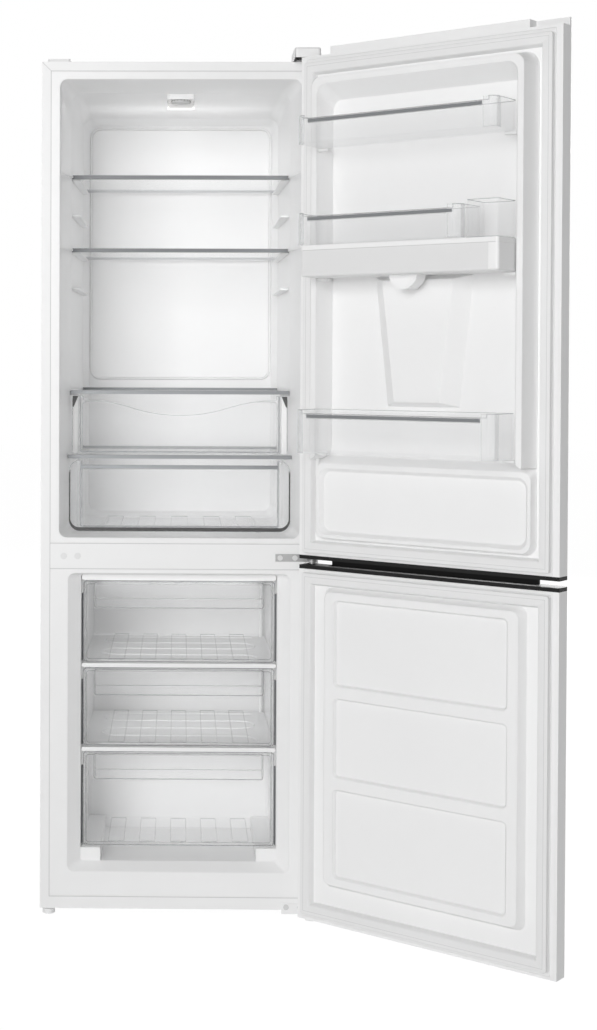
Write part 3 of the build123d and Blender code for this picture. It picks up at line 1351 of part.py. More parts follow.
def drip_tray():
    """Slotted tray on the niche's floor."""
    y0, y1 = OUTER + DRIP_TRAY_FRONT_GAP, OUTER + NICHE_DEPTH - DRIP_TRAY_BACK_GAP
    low = NICHE_LOW + SLIDE_GAP
    high = low + DRIP_TRAY_HEIGHT
    floor = low + TANK_WALL
    body = niche_body(-SLIDE_GAP) & block(-HALF, HALF, y0, y1, low, high)
    hollow = block(-HALF, HALF, y0 + TANK_WALL, y1 - TANK_WALL, floor, high)
    body -= niche_body(-SLIDE_GAP - TANK_WALL) & hollow
    pitch = 2 * (NICHE_HALF - NICHE_DRAW) / (DRIP_TRAY_BARS + 1)
    for n in range(DRIP_TRAY_BARS):
        x = (n - (DRIP_TRAY_BARS - 1) / 2) * pitch
        body += block(x - DRIP_BAR_HALF, x + DRIP_BAR_HALF, y0 + DRIP_BAR_END_GAP, y1 - DRIP_BAR_END_GAP,
                      high - DRIP_BAR_HEIGHT, high)
    return body


def grip_space():
    """Finger pocket along the outer lower edge of the upper door."""
    mouth = block(-GRIP_HALF, GRIP_HALF, OUTER, OUTER + GRIP_DEPTH, UPPER_LOW, UPPER_LOW + GRIP_HEIGHT)
    pocket = block(-GRIP_HALF, GRIP_HALF, OUTER + GRIP_FRONT, OUTER + GRIP_DEPTH,
                   UPPER_LOW, UPPER_LOW + GRIP_HEIGHT + GRIP_POCKET)
    return mouth + pocket


def upper_door_skin():
    """Steel skin of the upper door, cut for the niche and the grip."""
    skin = door_skin(UPPER_LOW + CAP, UPPER_HIGH - TOP_CAP)
    return skin - niche_body(NICHE_WALL) - grip_space()


def upper_door_foam():
    """Insulation of the upper door."""
    foam = door_core(UPPER_LOW + GRIP_INSERT, UPPER_HIGH - TOP_CAP) + upper_forms(LINER)
    foam -= niche_body(NICHE_WALL) + spout_bore()
    return foam - hinge_boss(UPPER_HIGH - BOSS_HEIGHT - TOP_CAP, UPPER_HIGH)


def upper_bottom_cap():
    """Dark lower end of the upper door, with the grip and a hinge bore."""
    cap = door_layer(0.0, UPPER_LOW, UPPER_LOW + CAP)
    cap += door_core(UPPER_LOW + CAP, UPPER_LOW + GRIP_INSERT)
    return cap - grip_space() - hinge_bore(UPPER_LOW, UPPER_LOW + PIN_LENGTH + PIN_END_GAP)


def upper_top_cap():
    """Upper end of the upper door: a plate, a raised crown and an outer lip."""
    low, high = UPPER_HIGH - TOP_CAP, UPPER_HIGH + CROWN_HEIGHT
    cap = door_layer(0.0, low, UPPER_HIGH)
    cap += door_layer(0.0, UPPER_HIGH, high) & block(
        HALF - CROWN_START, CROWN_FREE - HALF, OUTER, INNER, UPPER_HIGH, high)
    cap += door_layer(0.0, UPPER_HIGH, high) & block(
        HALF - CROWN_START, -HALF, OUTER, OUTER + CROWN_LIP, UPPER_HIGH, high)
    cap += hinge_boss(low - BOSS_HEIGHT, low)
    return cap - hinge_bore(low - BOSS_HEIGHT, UPPER_HIGH)


# ---------------------------------------------------------------- bins and tank

def door_bin(floor, height, x0=-BIN_HALF, x1=BIN_HALF):
    """Clear bin with a lower front wall and a rail for its trim."""
    y0, y1 = INNER + BIN_BACK, INNER + BIN_BACK + BIN_DEPTH
    top = floor + height
    body = tray(x0, x1, y0, y1, BIN_RADIUS, floor, top, BIN_WALL, BIN_TURN)
    body -= block(x0 + BIN_RADIUS, x1 - BIN_RADIUS, y1 - BIN_WALL, y1, top - BIN_STEP, top)
    x0, x1 = x0 + BIN_RAIL_INSET, x1 - BIN_RAIL_INSET
    rail_top = top - BIN_RAIL_DROP + BIN_RAIL_HEIGHT / 2
    return body + block(x0, x1, y1, y1 + BIN_RAIL_THICK, rail_top - BIN_RAIL_HEIGHT, rail_top)


def tank_y():
    """Depth range of the water tank."""
    return INNER + BIN_BACK, INNER + BIN_BACK + TANK_DEPTH


def filler_x():
    """Width range of the filler beside the middle bin."""
    return -BIN_HALF + FILLER_INSET, MIDDLE_BIN_END - FILLER_GAP


def water_tank():
    """White tank under the middle bin."""
    y0, y1 = tank_y()
    low = TANK_FLOOR
    body = tray(-BIN_HALF, BIN_HALF, y0, y1, TANK_CORNER, low, TANK_TOP - TANK_LID, TANK_WALL, BIN_TURN)
    return body - spout_way()


def spout_way():
    """Hole in the tank floor that feeds the valve."""
    y0, y1 = tank_y()
    return post(0, (y0 + y1) / 2, TANK_FLOOR, TANK_FLOOR + TANK_WALL, SPOUT_BORE)


def tank_lid():
    """Lid with a plug rim and the clear filler standing on it."""
    y0, y1 = tank_y()
    low = TANK_TOP - TANK_LID
    lid = upright(-BIN_HALF, BIN_HALF, y0, y1, TANK_CORNER, low, TANK_TOP)
    lid += tank_plug()
    x0, x1 = filler_x()
    hole = upright(x0 + FILLER_HOLE_SIDE, x1 - FILLER_HOLE_SIDE, y0 + FILLER_HOLE_FRONT,
                   y1 - FILLER_HOLE_FRONT, FILLER_HOLE_CORNER, low - PLUG_DROP, TANK_TOP)
    return lid - hole


def tank_plug():
    """Rim of the lid that plugs into the tank."""
    y0, y1 = tank_y()
    low = TANK_TOP - TANK_LID
    edge = TANK_WALL + PLUG_GAP
    half = BIN_HALF - edge
    rim = upright(-half, half, y0 + edge, y1 - edge, PLUG_CORNER, low - PLUG_DROP, low)
    edge += PLUG_WALL
    half -= PLUG_WALL
    return rim - upright(-half, half, y0 + edge, y1 - edge, PLUG_INNER_CORNER, low - PLUG_DROP, low)


def tank_filler():
    """Clear hopper on the lid, open at the top."""
    y0, y1 = tank_y()
    x0, x1 = filler_x()
    high = TANK_TOP + FILLER_HEIGHT
    wall = FILLER_WALL
    hopper = upright(x0, x1, y0, y1, FILLER_CORNER, TANK_TOP, high)
    return hopper - upright(x0 + wall, x1 - wall, y0 + wall, y1 - wall, FILLER_CORNER - wall, TANK_TOP, high)


def tank_valve():
    """Valve block under the tank, with its spout through the door."""
    y0, y1 = tank_y()
    top, low = TANK_FLOOR, TANK_FLOOR - VALVE_HEIGHT
    mid = (y0 + y1) / 2 - VALVE_SHIFT
    bowl = ThreePointArc((-VALVE_HALF, top), (0, low), (VALVE_HALF, top))
    outline = make_face([bowl, Line((VALVE_HALF, top), (-VALVE_HALF, top))])
    body = extrude(facing(mid + VALVE_DEPTH / 2, 0.0) * outline, VALVE_DEPTH)
    body += bar_y(0, INNER - SPOUT_END, mid, SPOUT_HEIGHT, SPOUT_RADIUS)
    return body - bar_y(0, INNER - SPOUT_END, mid, SPOUT_HEIGHT, SPOUT_BORE)


# ---------------------------------------------------------------- lower door

def lower_forms(inset=0.0):
    """Raised panel of the lower door lining with three recesses."""
    base = INNER - (LINER if inset else 0.0)
    tip = INNER + PANEL_HEIGHT - inset
    half, low, high = PANEL_HALF - inset, PANEL_LOW + inset, PANEL_HIGH - inset
    slope = PANEL_SLOPE
    body = frustum((base, half, low, high, PANEL_RADIUS),
                   (tip, half - slope, low + slope, high - slope, PANEL_RADIUS))
    floor = INNER + PANEL_HEIGHT - RECESS_DEPTH - inset
    for bottom_drop, top_drop in RECESS_DROPS:
        z0, z1 = PANEL_HIGH - bottom_drop, PANEL_HIGH - top_drop
        shrink = RECESS_SLOPE - inset
        near = (floor, RECESS_HALF - shrink, z0 + shrink, z1 - shrink, RECESS_FLOOR_RADIUS)
        far = (tip, RECESS_HALF + inset, z0 - inset, z1 + inset, RECESS_RADIUS)
        body -= frustum(near, far)
    return body


def lower_door_skin():
    """Steel skin of the lower door."""
    return door_skin(DOOR_FLOOR_GAP + TOP_CAP, LOWER_HIGH - CAP)


def lower_liner():
    """Moulded lining of the lower door."""
    plate = lining_plate(DOOR_FLOOR_GAP + TOP_CAP, LOWER_HIGH - CAP)
    return plate + lower_forms() - lower_forms(LINER)


def lower_door_foam():
    """Insulation of the lower door."""
    foam = door_core(DOOR_FLOOR_GAP + TOP_CAP, LOWER_HIGH - LOW_INSERT) + lower_forms(LINER)
    return foam - hinge_boss(DOOR_FLOOR_GAP, DOOR_FLOOR_GAP + TOP_CAP + BOSS_HEIGHT)


def lower_top_cap():
    """Dark upper end of the lower door, with the finger rail and scoop."""
    cap = door_layer(0.0, LOWER_HIGH - CAP, LOWER_HIGH)
    cap += door_core(LOWER_HIGH - LOW_INSERT, LOWER_HIGH - CAP)
    cap += block(-GRIP_HALF, GRIP_HALF, OUTER, OUTER + GRIP_FRONT, LOWER_HIGH, LOWER_HIGH + RAIL_LIP)
    scoop = block(-GRIP_HALF, GRIP_HALF, OUTER + GRIP_FRONT, OUTER + GRIP_FRONT + SCOOP_WIDTH,
                  LOWER_HIGH - SCOOP_DEPTH, LOWER_HIGH)
    return cap - scoop - hinge_bore(LOWER_HIGH - PIN_LENGTH - PIN_END_GAP, LOWER_HIGH)


def lower_bottom_cap():
    """Lower end of the lower door, with its hinge bore and a stub."""
    low = DOOR_FLOOR_GAP
    cap = door_layer(0.0, low, low + TOP_CAP)
    cap += hinge_boss(low + TOP_CAP, low + TOP_CAP + BOSS_HEIGHT)
    cap += post(-HALF + STUB_INSET, HINGE_Y, low - STUB_DROP, low, STUB_RADIUS)
    return cap - hinge_bore(low, low + TOP_CAP + BOSS_HEIGHT)


# ---------------------------------------------------------------- feet and rollers

def foot_x():
    """Sideways place of a levelling foot."""
    return HALF - FOOT_INSET


def foot_y():
    """Depth place of a levelling foot."""
    return FRONT + FOOT_SETBACK


def levelling_foot(side):
    """Screw-in foot with a ribbed disc."""
    x, y = side * foot_x(), foot_y()
    disc = post(x, y, 0.0, FOOT_DISC, FOOT_RADIUS)
    disc = chamfer(disc.edges().group_by(Axis.Z)[0], FOOT_EDGE)
    neck = post(x, y, FOOT_DISC, FLOOR_GAP - SEAT_GAP, FOOT_NECK)
    return disc + neck + post(x, y, FOOT_DISC, PAN_TOP + STUD_RISE - STUD_POCKET, STUD_RADIUS)


def roller_span():
    """Inner and outer side of a rear roller."""
    return HALF - ROLLER_INSET - ROLLER_WIDTH, HALF - ROLLER_INSET


def rear_rollers():
    """Two rollers fixed on one axle."""
    x0, x1 = roller_span()
    y = BACK - ROLLER_SETBACK
    end = x1 + ROLLER_GAP + LUG + AXLE_END
    wheel = bar_x(x0, x1, y, ROLLER_RADIUS, ROLLER_RADIUS)
    return both_sides(wheel) + bar_x(-end, end, y, ROLLER_RADIUS, AXLE_RADIUS)


# ---------------------------------------------------------------- machine parts

def grommet_places():
    """Plan places of the compressor's rubber feet."""
    y = BACK - BAY_DEPTH / 2
    return [(POT_X + dx, y + dy) for dx in (-GROMMET_X, GROMMET_X) for dy in (-GROMMET_Y, GROMMET_Y)]


def compressor():
    """Hermetic compressor: two shells with a weld seam, on a carrier plate."""
    y = BACK - BAY_DEPTH / 2
    low = PAN_TOP + GROMMET_HEIGHT
    base = low + CARRIER
    top = base + POT_HEIGHT
    carrier = upright(POT_X - CARRIER_HALF, POT_X + CARRIER_HALF, y - CARRIER_DEPTH, y + CARRIER_DEPTH,
                      CARRIER_CORNER, low, base)
    outline = Polyline((0, base), (POT_FLOOR, base), (POT_RADIUS, base + POT_FOOT),
                       (POT_RADIUS, top - POT_SHOULDER), (POT_DOME_RADIUS, top - POT_DOME),
                       (POT_LAND, top), (0, top), close=True)
    pot = revolve(Plane.XZ * make_face(outline), Axis.Z)
    pot += Pos(0, 0, base + POT_SEAM) * Cylinder(POT_RADIUS + POT_SEAM_RIM, POT_SEAM_RIM)
    side = POT_X + POT_RADIUS
    relay = upright(side - RELAY_START, side + RELAY_END, y - RELAY_HALF, y + RELAY_HALF, RELAY_CORNER,
                    base + RELAY_LOW, base + RELAY_HIGH)
    body = carrier + Pos(POT_X, y, 0) * pot + relay
    for px, py in grommet_places():
        body -= post(px, py, low, base, GROMMET_STUD + RUN_GAP)
    x, y, z = discharge_point()
    return body - post(x, y, z - TUBE_GRIP, top, CONDENSER_TUBE + RUN_GAP)


def discharge_point():
    """Where the discharge tube leaves the compressor."""
    y = BACK - BAY_DEPTH / 2
    base = PAN_TOP + GROMMET_HEIGHT + CARRIER
    return POT_X - STUB_TUBE_X, y + STUB_TUBE_Y, base + POT_HEIGHT - STUB_TUBE_DROP


def compressor_grommets():
    """Four rubber feet with their studs."""
    feet = None
    seat = PAN_TOP + GROMMET_HEIGHT
    for x, y in grommet_places():
        foot = post(x, y, PAN_TOP, seat, GROMMET_RADIUS)
        foot += post(x, y, seat, seat + CARRIER + GROMMET_HEAD, GROMMET_STUD)
        feet = foot if feet is None else feet + foot
    return feet


def condenser_y():
    """Centre plane of the condenser tube."""
    return BACK + CONDENSER_GAP


def drier_place():
    """Lower end of the filter drier."""
    return DRIER_X, BACK - DRIER_SETBACK, PAN_TOP + DRIER_RISE


def condenser_route():
    """Points of the tube from the compressor, down the back of the case, to the drier."""
    y = condenser_y()
    pitch = (CONDENSER_HIGH - CONDENSER_LOW) / (CONDENSER_PASSES - 1)
    riser = -CONDENSER_HALF - TUBE_RISER
    x, sy, z = discharge_point()
    points = [(x, sy, z - TUBE_GRIP + TUBE_END_GAP), (x, sy, BAY_TOP - TUBE_TOP_GAP),
              (riser, y, BAY_TOP - TUBE_TOP_GAP), (riser, y, CONDENSER_HIGH)]
    side = CONDENSER_HALF
    for n in range(CONDENSER_PASSES):
        height = CONDENSER_HIGH - n * pitch
        if n:
            points.append((side, y, height))
            side = -side
        points.append((side, y, height))
    dx, dy, dz = drier_place()
    low = BAY_TOP - TUBE_LOW_GAP
    end = dz + DRIER_LENGTH - TUBE_GRIP + TUBE_END_GAP
    return points + [(side, y, low), (dx, dy, low), (dx, dy, end)]


def condenser():
    """Serpentine tube behind the case with a row of stiffening wires."""
    path = FilletPolyline(*condenser_route(), radius=TUBE_BEND)
    start = Plane(origin=path @ 0, z_dir=path % 0)
    parts = [sweep(start * Circle(CONDENSER_TUBE), path=path)]
    reach = condenser_y() + CONDENSER_TUBE + WIRE_RADIUS + WIRE_CLEARANCE
    edge = CONDENSER_HALF - WIRE_INSET
    for n in range(WIRE_COUNT):
        x = -edge + 2 * edge * n / (WIRE_COUNT - 1)
        parts.append(post(x, reach, CONDENSER_LOW - WIRE_OVERRUN,
                          CONDENSER_HIGH + WIRE_OVERRUN, WIRE_RADIUS))
    pitch = (CONDENSER_HIGH - CONDENSER_LOW) / (CONDENSER_PASSES - 1)
    high, low = CLIP_ROWS
    for x in (CLIP_INSET - CONDENSER_HALF, CONDENSER_HALF - CLIP_INSET - CLIP_WIDTH):
        for row in (high, CONDENSER_PASSES - low):
            parts.append(condenser_clip(x, CONDENSER_HIGH - row * pitch))
    return Compound(children=[part.solid() for part in parts])


def condenser_clip(x, z):
    """Moulded spacer that clips a condenser tube to the back of the case."""
    y = condenser_y()
    clip = block(x, x + CLIP_WIDTH, BACK, y + CONDENSER_TUBE, z - CLIP_HALF, z + CLIP_HALF)
    return clip - bar_x(x, x + CLIP_WIDTH, y, z, CONDENSER_TUBE + RUN_GAP)


def filter_drier():
    """Copper filter drier at the end of the condenser."""
    x, y, z = drier_place()
    outline = Polyline((0, 0), (DRIER_TIP, 0), (DRIER_RADIUS, DRIER_NECK),
                       (DRIER_RADIUS, DRIER_LENGTH - DRIER_NECK), (DRIER_MOUTH, DRIER_LENGTH),
                       (0, DRIER_LENGTH), close=True)
    body = Pos(x, y, z) * revolve(Plane.XZ * make_face(outline), Axis.Z)
    top = z + DRIER_LENGTH
    return body - post(x, y, top - TUBE_GRIP, top, CONDENSER_TUBE + RUN_GAP)


def evaporation_tray():
    """Tray on top of the compressor that takes the defrost water."""
    y = BACK - BAY_DEPTH / 2
    low = PAN_TOP + GROMMET_HEIGHT + CARRIER + POT_HEIGHT
    left, right = DEFROST_TRAY
    return tray(POT_X + left, POT_X + right, y - DEFROST_TRAY_FRONT, y + DEFROST_TRAY_BACK,
                DEFROST_TRAY_CORNER, low, low + DEFROST_TRAY_HEIGHT, TRAY_WALL, TRAY_TURN)


def power_inlet():
    """Mains inlet box on the wall of the machine bay."""
    low = PAN_TOP + INLET_RISE
    back = BAY_FRONT + INLET_DEPTH
    body = upright(INLET_X - INLET_HALF, INLET_X + INLET_HALF, BAY_FRONT, back, INLET_CORNER,
                   low, low + INLET_HEIGHT)
    return body - block(INLET_X - INLET_MOUTH_HALF, INLET_X + INLET_MOUTH_HALF, back - INLET_MOUTH_DEPTH,
                        back, low + INLET_RIM, low + INLET_HEIGHT - INLET_RIM)


# ---------------------------------------------------------------- export

def swing(shape):
    """Turn a piece of a shut door to the stored open pose."""
    return Pos(HINGE_X, HINGE_Y, 0) * Rot(0, 0, OPEN_ANGLE) * Pos(-HINGE_X, -HINGE_Y, 0) * shape


FIXED = {
    "outer_shell": outer_shell,
    "rear_panel": rear_panel,
    "base_pan": base_pan,
    "cabinet_foam": cabinet_foam,
    "fridge_liner": fridge_liner,
    "freezer_liner": freezer_liner,
    "crossbar_cover": crossbar_cover,
    "evaporator_plate": evaporator_plate,
    "shelf_evaporator": shelf_evaporator,
    "hinge_screws": hinge_screws,
    "hole_covers": hole_covers,
    "top_hinge_bracket": top_hinge_bracket,
    "top_hinge_cover": top_hinge_cover,
    "middle_hinge_bracket": middle_hinge_bracket,
    "bottom_hinge_bracket": bottom_hinge_bracket,
    "lamp_housing": lamp_housing,
    "lamp_lens": lamp_lens,
    "thermostat_dial": thermostat_dial,
    "upper_shelf_glass": lambda: glass_plate(SHELF_TOP, SHELF_SETBACK),
    "upper_shelf_trims": lambda: shelf_trims(SHELF_TOP, SHELF_SETBACK),
    "lower_shelf_glass": lambda: glass_plate(lower_shelf_top(), SHELF_SETBACK),
    "lower_shelf_trims": lambda: shelf_trims(lower_shelf_top(), SHELF_SETBACK),
    "cover_glasses": lambda: compartment_covers(glass_plate),
    "cover_trims": lambda: compartment_covers(shelf_trims),
    "chill_tray": chill_tray,
    "crisper_drawer": crisper_drawer,
    "freezer_drawer_top": lambda: freezer_drawer(0, DRAWER_DEPTH),
    "freezer_drawer_middle": lambda: freezer_drawer(1, DRAWER_DEPTH),
    "freezer_drawer_bottom": lambda: freezer_drawer(2, LOW_DRAWER_DEPTH),
    "left_foot": lambda: levelling_foot(-1),
    "right_foot": lambda: levelling_foot(1),
    "rear_rollers": rear_rollers,
    "compressor": compressor,
    "compressor_grommets": compressor_grommets,
    "condenser": condenser,
    "filter_drier": filter_drier,
    "evaporation_tray": evaporation_tray,
    "power_inlet": power_inlet,
}

ON_DOORS = {
    "upper_door_skin": upper_door_skin,
    "upper_door_foam": upper_door_foam,
    "upper_door_liner": upper_liner,
    "upper_door_gasket": lambda: gasket(UPPER_LOW, UPPER_HIGH),
    "upper_door_top_cap": upper_top_cap,
    "upper_door_bottom_cap": upper_bottom_cap,
    "top_bin": lambda: door_bin(TOP_BIN_FLOOR, TOP_BIN_HEIGHT),
    "middle_bin": lambda: door_bin(MIDDLE_BIN_FLOOR, MIDDLE_BIN_HEIGHT, x0=MIDDLE_BIN_END),
    "bottom_bin": lambda: door_bin(LOW_BIN_FLOOR, LOW_BIN_HEIGHT),
    "water_tank": water_tank,
    "tank_lid": tank_lid,
    "tank_filler": tank_filler,
    "tank_valve": tank_valve,
    "dispenser_niche": dispenser_niche,
    "dispenser_lever": dispenser_lever,
    "drip_tray": drip_tray,
    "lower_door_skin": lower_door_skin,
    "lower_door_foam": lower_door_foam,
    "lower_door_liner": lower_liner,
    "lower_door_gasket": lambda: gasket(DOOR_FLOOR_GAP, LOWER_HIGH),
    "lower_door_top_cap": lower_top_cap,
    "lower_door_bottom_cap": lower_bottom_cap,
}

os.makedirs("parts", exist_ok=True)
for node, make in FIXED.items():
    export_step(make(), f"parts/{node}.step")
for node, make in ON_DOORS.items():
    export_step(swing(make()), f"parts/{node}.step")
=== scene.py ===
"""Looks, light and camera of a bottom freezer refrigerator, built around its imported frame."""

import json
import logging
import math
from dataclasses import dataclass
from enum import Enum
from typing import Sequence

import bmesh
import bpy
from mathutils import Matrix, Vector


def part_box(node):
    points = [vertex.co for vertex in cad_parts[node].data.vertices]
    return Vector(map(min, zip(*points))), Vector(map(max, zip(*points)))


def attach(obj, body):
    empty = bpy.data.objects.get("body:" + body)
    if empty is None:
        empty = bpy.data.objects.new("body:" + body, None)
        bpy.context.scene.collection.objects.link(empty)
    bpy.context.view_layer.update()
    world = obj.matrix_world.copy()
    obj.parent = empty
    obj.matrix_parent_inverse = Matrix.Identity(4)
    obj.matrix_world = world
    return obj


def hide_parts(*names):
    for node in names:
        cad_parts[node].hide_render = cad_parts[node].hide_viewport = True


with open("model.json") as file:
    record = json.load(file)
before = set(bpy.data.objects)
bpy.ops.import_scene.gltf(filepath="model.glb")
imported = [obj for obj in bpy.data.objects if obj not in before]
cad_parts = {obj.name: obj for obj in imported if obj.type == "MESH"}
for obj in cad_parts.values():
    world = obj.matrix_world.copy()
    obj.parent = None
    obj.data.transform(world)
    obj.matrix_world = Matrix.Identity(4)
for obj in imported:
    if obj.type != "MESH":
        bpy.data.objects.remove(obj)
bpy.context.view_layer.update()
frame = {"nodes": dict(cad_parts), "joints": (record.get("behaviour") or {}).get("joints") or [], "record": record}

log = logging.getLogger("refrigerator")

Point = tuple[float, float, float]
Colour = tuple[float, float, float]
MM = 0.001
CLEAR_LAYERS = 64       # clear walls that a line of sight may cross
WHITE_BOUNCES = 8       # light that comes back from wall to wall in the white compartments
DRIFT_SCALE = 2.2       # how fine the slow drift of a colour is, per metre
NOISE_DETAIL = 3.0
DRIFT_STOPS = (0.3, 0.7)
BEVEL_SAMPLES = 4
BUMP_STRENGTH = 0.35
ROUGHNESS_SPREAD = 0.04
BRUSH_STRETCH = (1.0, 1.0, 0.02)
EVEN_STRETCH = (1.0, 1.0, 1.0)
FACING_BLEND = 0.35     # how soon a clear surface that turns away gets fuller
FLAT_TURN = 0.998       # agreement of rounded and true normal on a flat wall
WARM_WHITE = (1.0, 0.985, 0.95, 1.0)
SMOOTH_ANGLE = math.radians(35.0)


# ---------------------------------------------------------------- finishes

def srgb(value: float) -> float:
    """Linear value of a display value from 0 to 255."""
    share = value / 255.0
    return share / 12.92 if share <= 0.04045 else ((share + 0.055) / 1.055) ** 2.4


def grey(value: float, tint: float = 0.0) -> Colour:
    """Linear neutral colour of a display value, a little bluer with a positive tint."""
    return srgb(value - tint), srgb(value), srgb(min(255.0, value + tint))


class Texture(Enum):
    """Small-scale surface that a finish carries."""

    PEBBLE = "pebble"
    BRUSHED = "brushed"
    SMOOTH = "smooth"
    CELLS = "cells"


@dataclass(frozen=True)
class Finish:
    """Surface finish made of shader nodes.

    Attributes: the name and base colour; how rough and metallic it is; how full it is seen
    straight on and where it turns away; the kind, fineness and depth of its texture; how much
    its colour drifts; its gloss and glow; the radius by which its edges look rounded; and the
    width, fullness and colour of the painted shade lines along a clear piece's edges, which stand
    in for the refraction at its rims, with the agreement of the normals at which a line is full.
    """

    name: str
    colour: Colour
    roughness: float = 0.4
    metallic: float = 0.0
    alpha: float = 1.0
    rim_alpha: float = 1.0
    texture: Texture = Texture.PEBBLE
    grain: float = 700.0
    depth: float = 0.00002
    drift: float = 0.015
    gloss: float = 0.5
    glow: float = 0.0
    round_edge: float = 0.0
    # painted shade: width, fullness, colour and normal agreement of dark lines along a clear piece's edges,
    # standing in for refraction at its rims
    edge_shade_width: float = 0.0
    edge_shade_alpha: float = 0.0
    edge_shade_colour: Colour = (0.3, 0.3, 0.31)
    edge_turn: float = 0.86

    def build(self) -> bpy.types.Material:
        """Makes the material.

        Returns:
            The node material of this finish.
        """
        material = bpy.data.materials.new(self.name)
        material.use_nodes = True
        tree = material.node_tree
        shader = tree.nodes["Principled BSDF"]
        shader.inputs["Metallic"].default_value = self.metallic
        shader.inputs["Specular IOR Level"].default_value = self.gloss
        self._colour(tree, shader)
        self._surface(tree, shader)
        if self.alpha < 1.0:
            self._clearness(tree, shader)
        if self.glow > 0.0:
            shader.inputs["Emission Color"].default_value = WARM_WHITE
            shader.inputs["Emission Strength"].default_value = self.glow
        return material

    def _noise(self, tree: bpy.types.NodeTree, scale: float,
               stretch: Point = EVEN_STRETCH) -> bpy.types.Node:
        """Noise in the piece's own space.

        Args:
            tree: the material's node tree.
            scale: how fine the noise is, per metre.
            stretch: how much finer it is along each axis.

        Returns:
            The noise node.
        """
        place = tree.nodes.new("ShaderNodeTexCoord")
        mapping = tree.nodes.new("ShaderNodeMapping")
        mapping.inputs["Scale"].default_value = stretch
        noise = tree.nodes.new("ShaderNodeTexNoise")
        noise.inputs["Scale"].default_value = scale
        noise.inputs["Detail"].default_value = NOISE_DETAIL
        tree.links.new(place.outputs["Object"], mapping.inputs["Vector"])
        tree.links.new(mapping.outputs["Vector"], noise.inputs["Vector"])
        return noise

    def _colour(self, tree: bpy.types.NodeTree, shader: bpy.types.Node) -> None:
        """Base colour with a slow drift of brightness over the surface, and painted shade along a clear piece's
        edges.

        Args:
            tree: the material's node tree.
            shader: the surface shader.
        """
        colour = self._drifting(tree, self.drift, DRIFT_STOPS)
        if self.edge_shade_width == 0.0:
            tree.links.new(colour, shader.inputs["Base Color"])
            return
        # painted shade: the edge mask darkens the colour along a clear piece's edges
        mix = tree.nodes.new("ShaderNodeMix")
        mix.data_type = "RGBA"
        mix.inputs["B"].default_value = (*self.edge_shade_colour, 1.0)
        tree.links.new(self._edge_shade(tree), mix.inputs["Factor"])
        tree.links.new(colour, mix.inputs["A"])
        tree.links.new(mix.outputs["Result"], shader.inputs["Base Color"])

    def _drifting(self, tree: bpy.types.NodeTree, drift: float,
                  stops: tuple[float, float]) -> bpy.types.NodeSocket:
        """The finish's colour with a slow drift of brightness.

        Args:
            tree: the material's node tree.
            drift: the share by which it gets darker and lighter.
            stops: the noise values at which it is darkest and lightest.

        Returns:
            The socket with the colour.
        """
        noise = self._noise(tree, DRIFT_SCALE)
        ramp = tree.nodes.new("ShaderNodeValToRGB")
        for element, stop, share in zip(ramp.color_ramp.elements, stops, (1.0 - drift, 1.0 + drift)):
            element.position = stop
            element.color = (*(min(1.0, c * share) for c in self.colour), 1.0)
        tree.links.new(noise.outputs["Fac"], ramp.inputs["Fac"])
        return ramp.outputs["Color"]

    def _edge_shade(self, tree: bpy.types.NodeTree) -> bpy.types.NodeSocket:
        """Mask of painted shade: 1 along the edges of a clear piece, where its walls turn and refraction would
        darken it.

        Args:
            tree: the material's node tree.

        Returns:
            The socket with the value.
        """
        bevel = tree.nodes.new("ShaderNodeBevel")
        bevel.samples = BEVEL_SAMPLES
        bevel.inputs["Radius"].default_value = self.edge_shade_width
        geometry = tree.nodes.new("ShaderNodeNewGeometry")
        turn = tree.nodes.new("ShaderNodeVectorMath")
        turn.operation = "DOT_PRODUCT"
        tree.links.new(bevel.outputs["Normal"], turn.inputs[0])
        tree.links.new(geometry.outputs["True Normal"], turn.inputs[1])
        share = tree.nodes.new("ShaderNodeMapRange")
        share.inputs["From Min"].default_value = FLAT_TURN
        share.inputs["From Max"].default_value = self.edge_turn
        tree.links.new(turn.outputs["Value"], share.inputs["Value"])
        return share.outputs["Result"]

    def _surface(self, tree: bpy.types.NodeTree, shader: bpy.types.Node) -> None:
        """Roughness that varies a little, and the fine relief.

        Args:
            tree: the material's node tree.
            shader: the surface shader.
        """
        if self.texture is Texture.CELLS:
            cells = tree.nodes.new("ShaderNodeTexVoronoi")
            cells.inputs["Scale"].default_value = self.grain
            relief = cells.outputs["Distance"]
        else:
            stretch = BRUSH_STRETCH if self.texture is Texture.BRUSHED else EVEN_STRETCH
            relief = self._noise(tree, self.grain, stretch).outputs["Fac"]
        spread = tree.nodes.new("ShaderNodeMapRange")
        spread.inputs["To Min"].default_value = max(0.0, self.roughness - ROUGHNESS_SPREAD)
        spread.inputs["To Max"].default_value = min(1.0, self.roughness + ROUGHNESS_SPREAD)
        tree.links.new(relief, spread.inputs["Value"])
        tree.links.new(spread.outputs["Result"], shader.inputs["Roughness"])
        if self.texture is Texture.SMOOTH:
            return
        bump = tree.nodes.new("ShaderNodeBump")
        bump.inputs["Strength"].default_value = BUMP_STRENGTH
        bump.inputs["Distance"].default_value = self.depth
        tree.links.new(relief, bump.inputs["Height"])
        if self.round_edge > 0.0:
            bevel = tree.nodes.new("ShaderNodeBevel")
            bevel.samples = BEVEL_SAMPLES
            bevel.inputs["Radius"].default_value = self.round_edge
            tree.links.new(bevel.outputs["Normal"], bump.inputs["Normal"])
        tree.links.new(bump.outputs["Normal"], shader.inputs["Normal"])

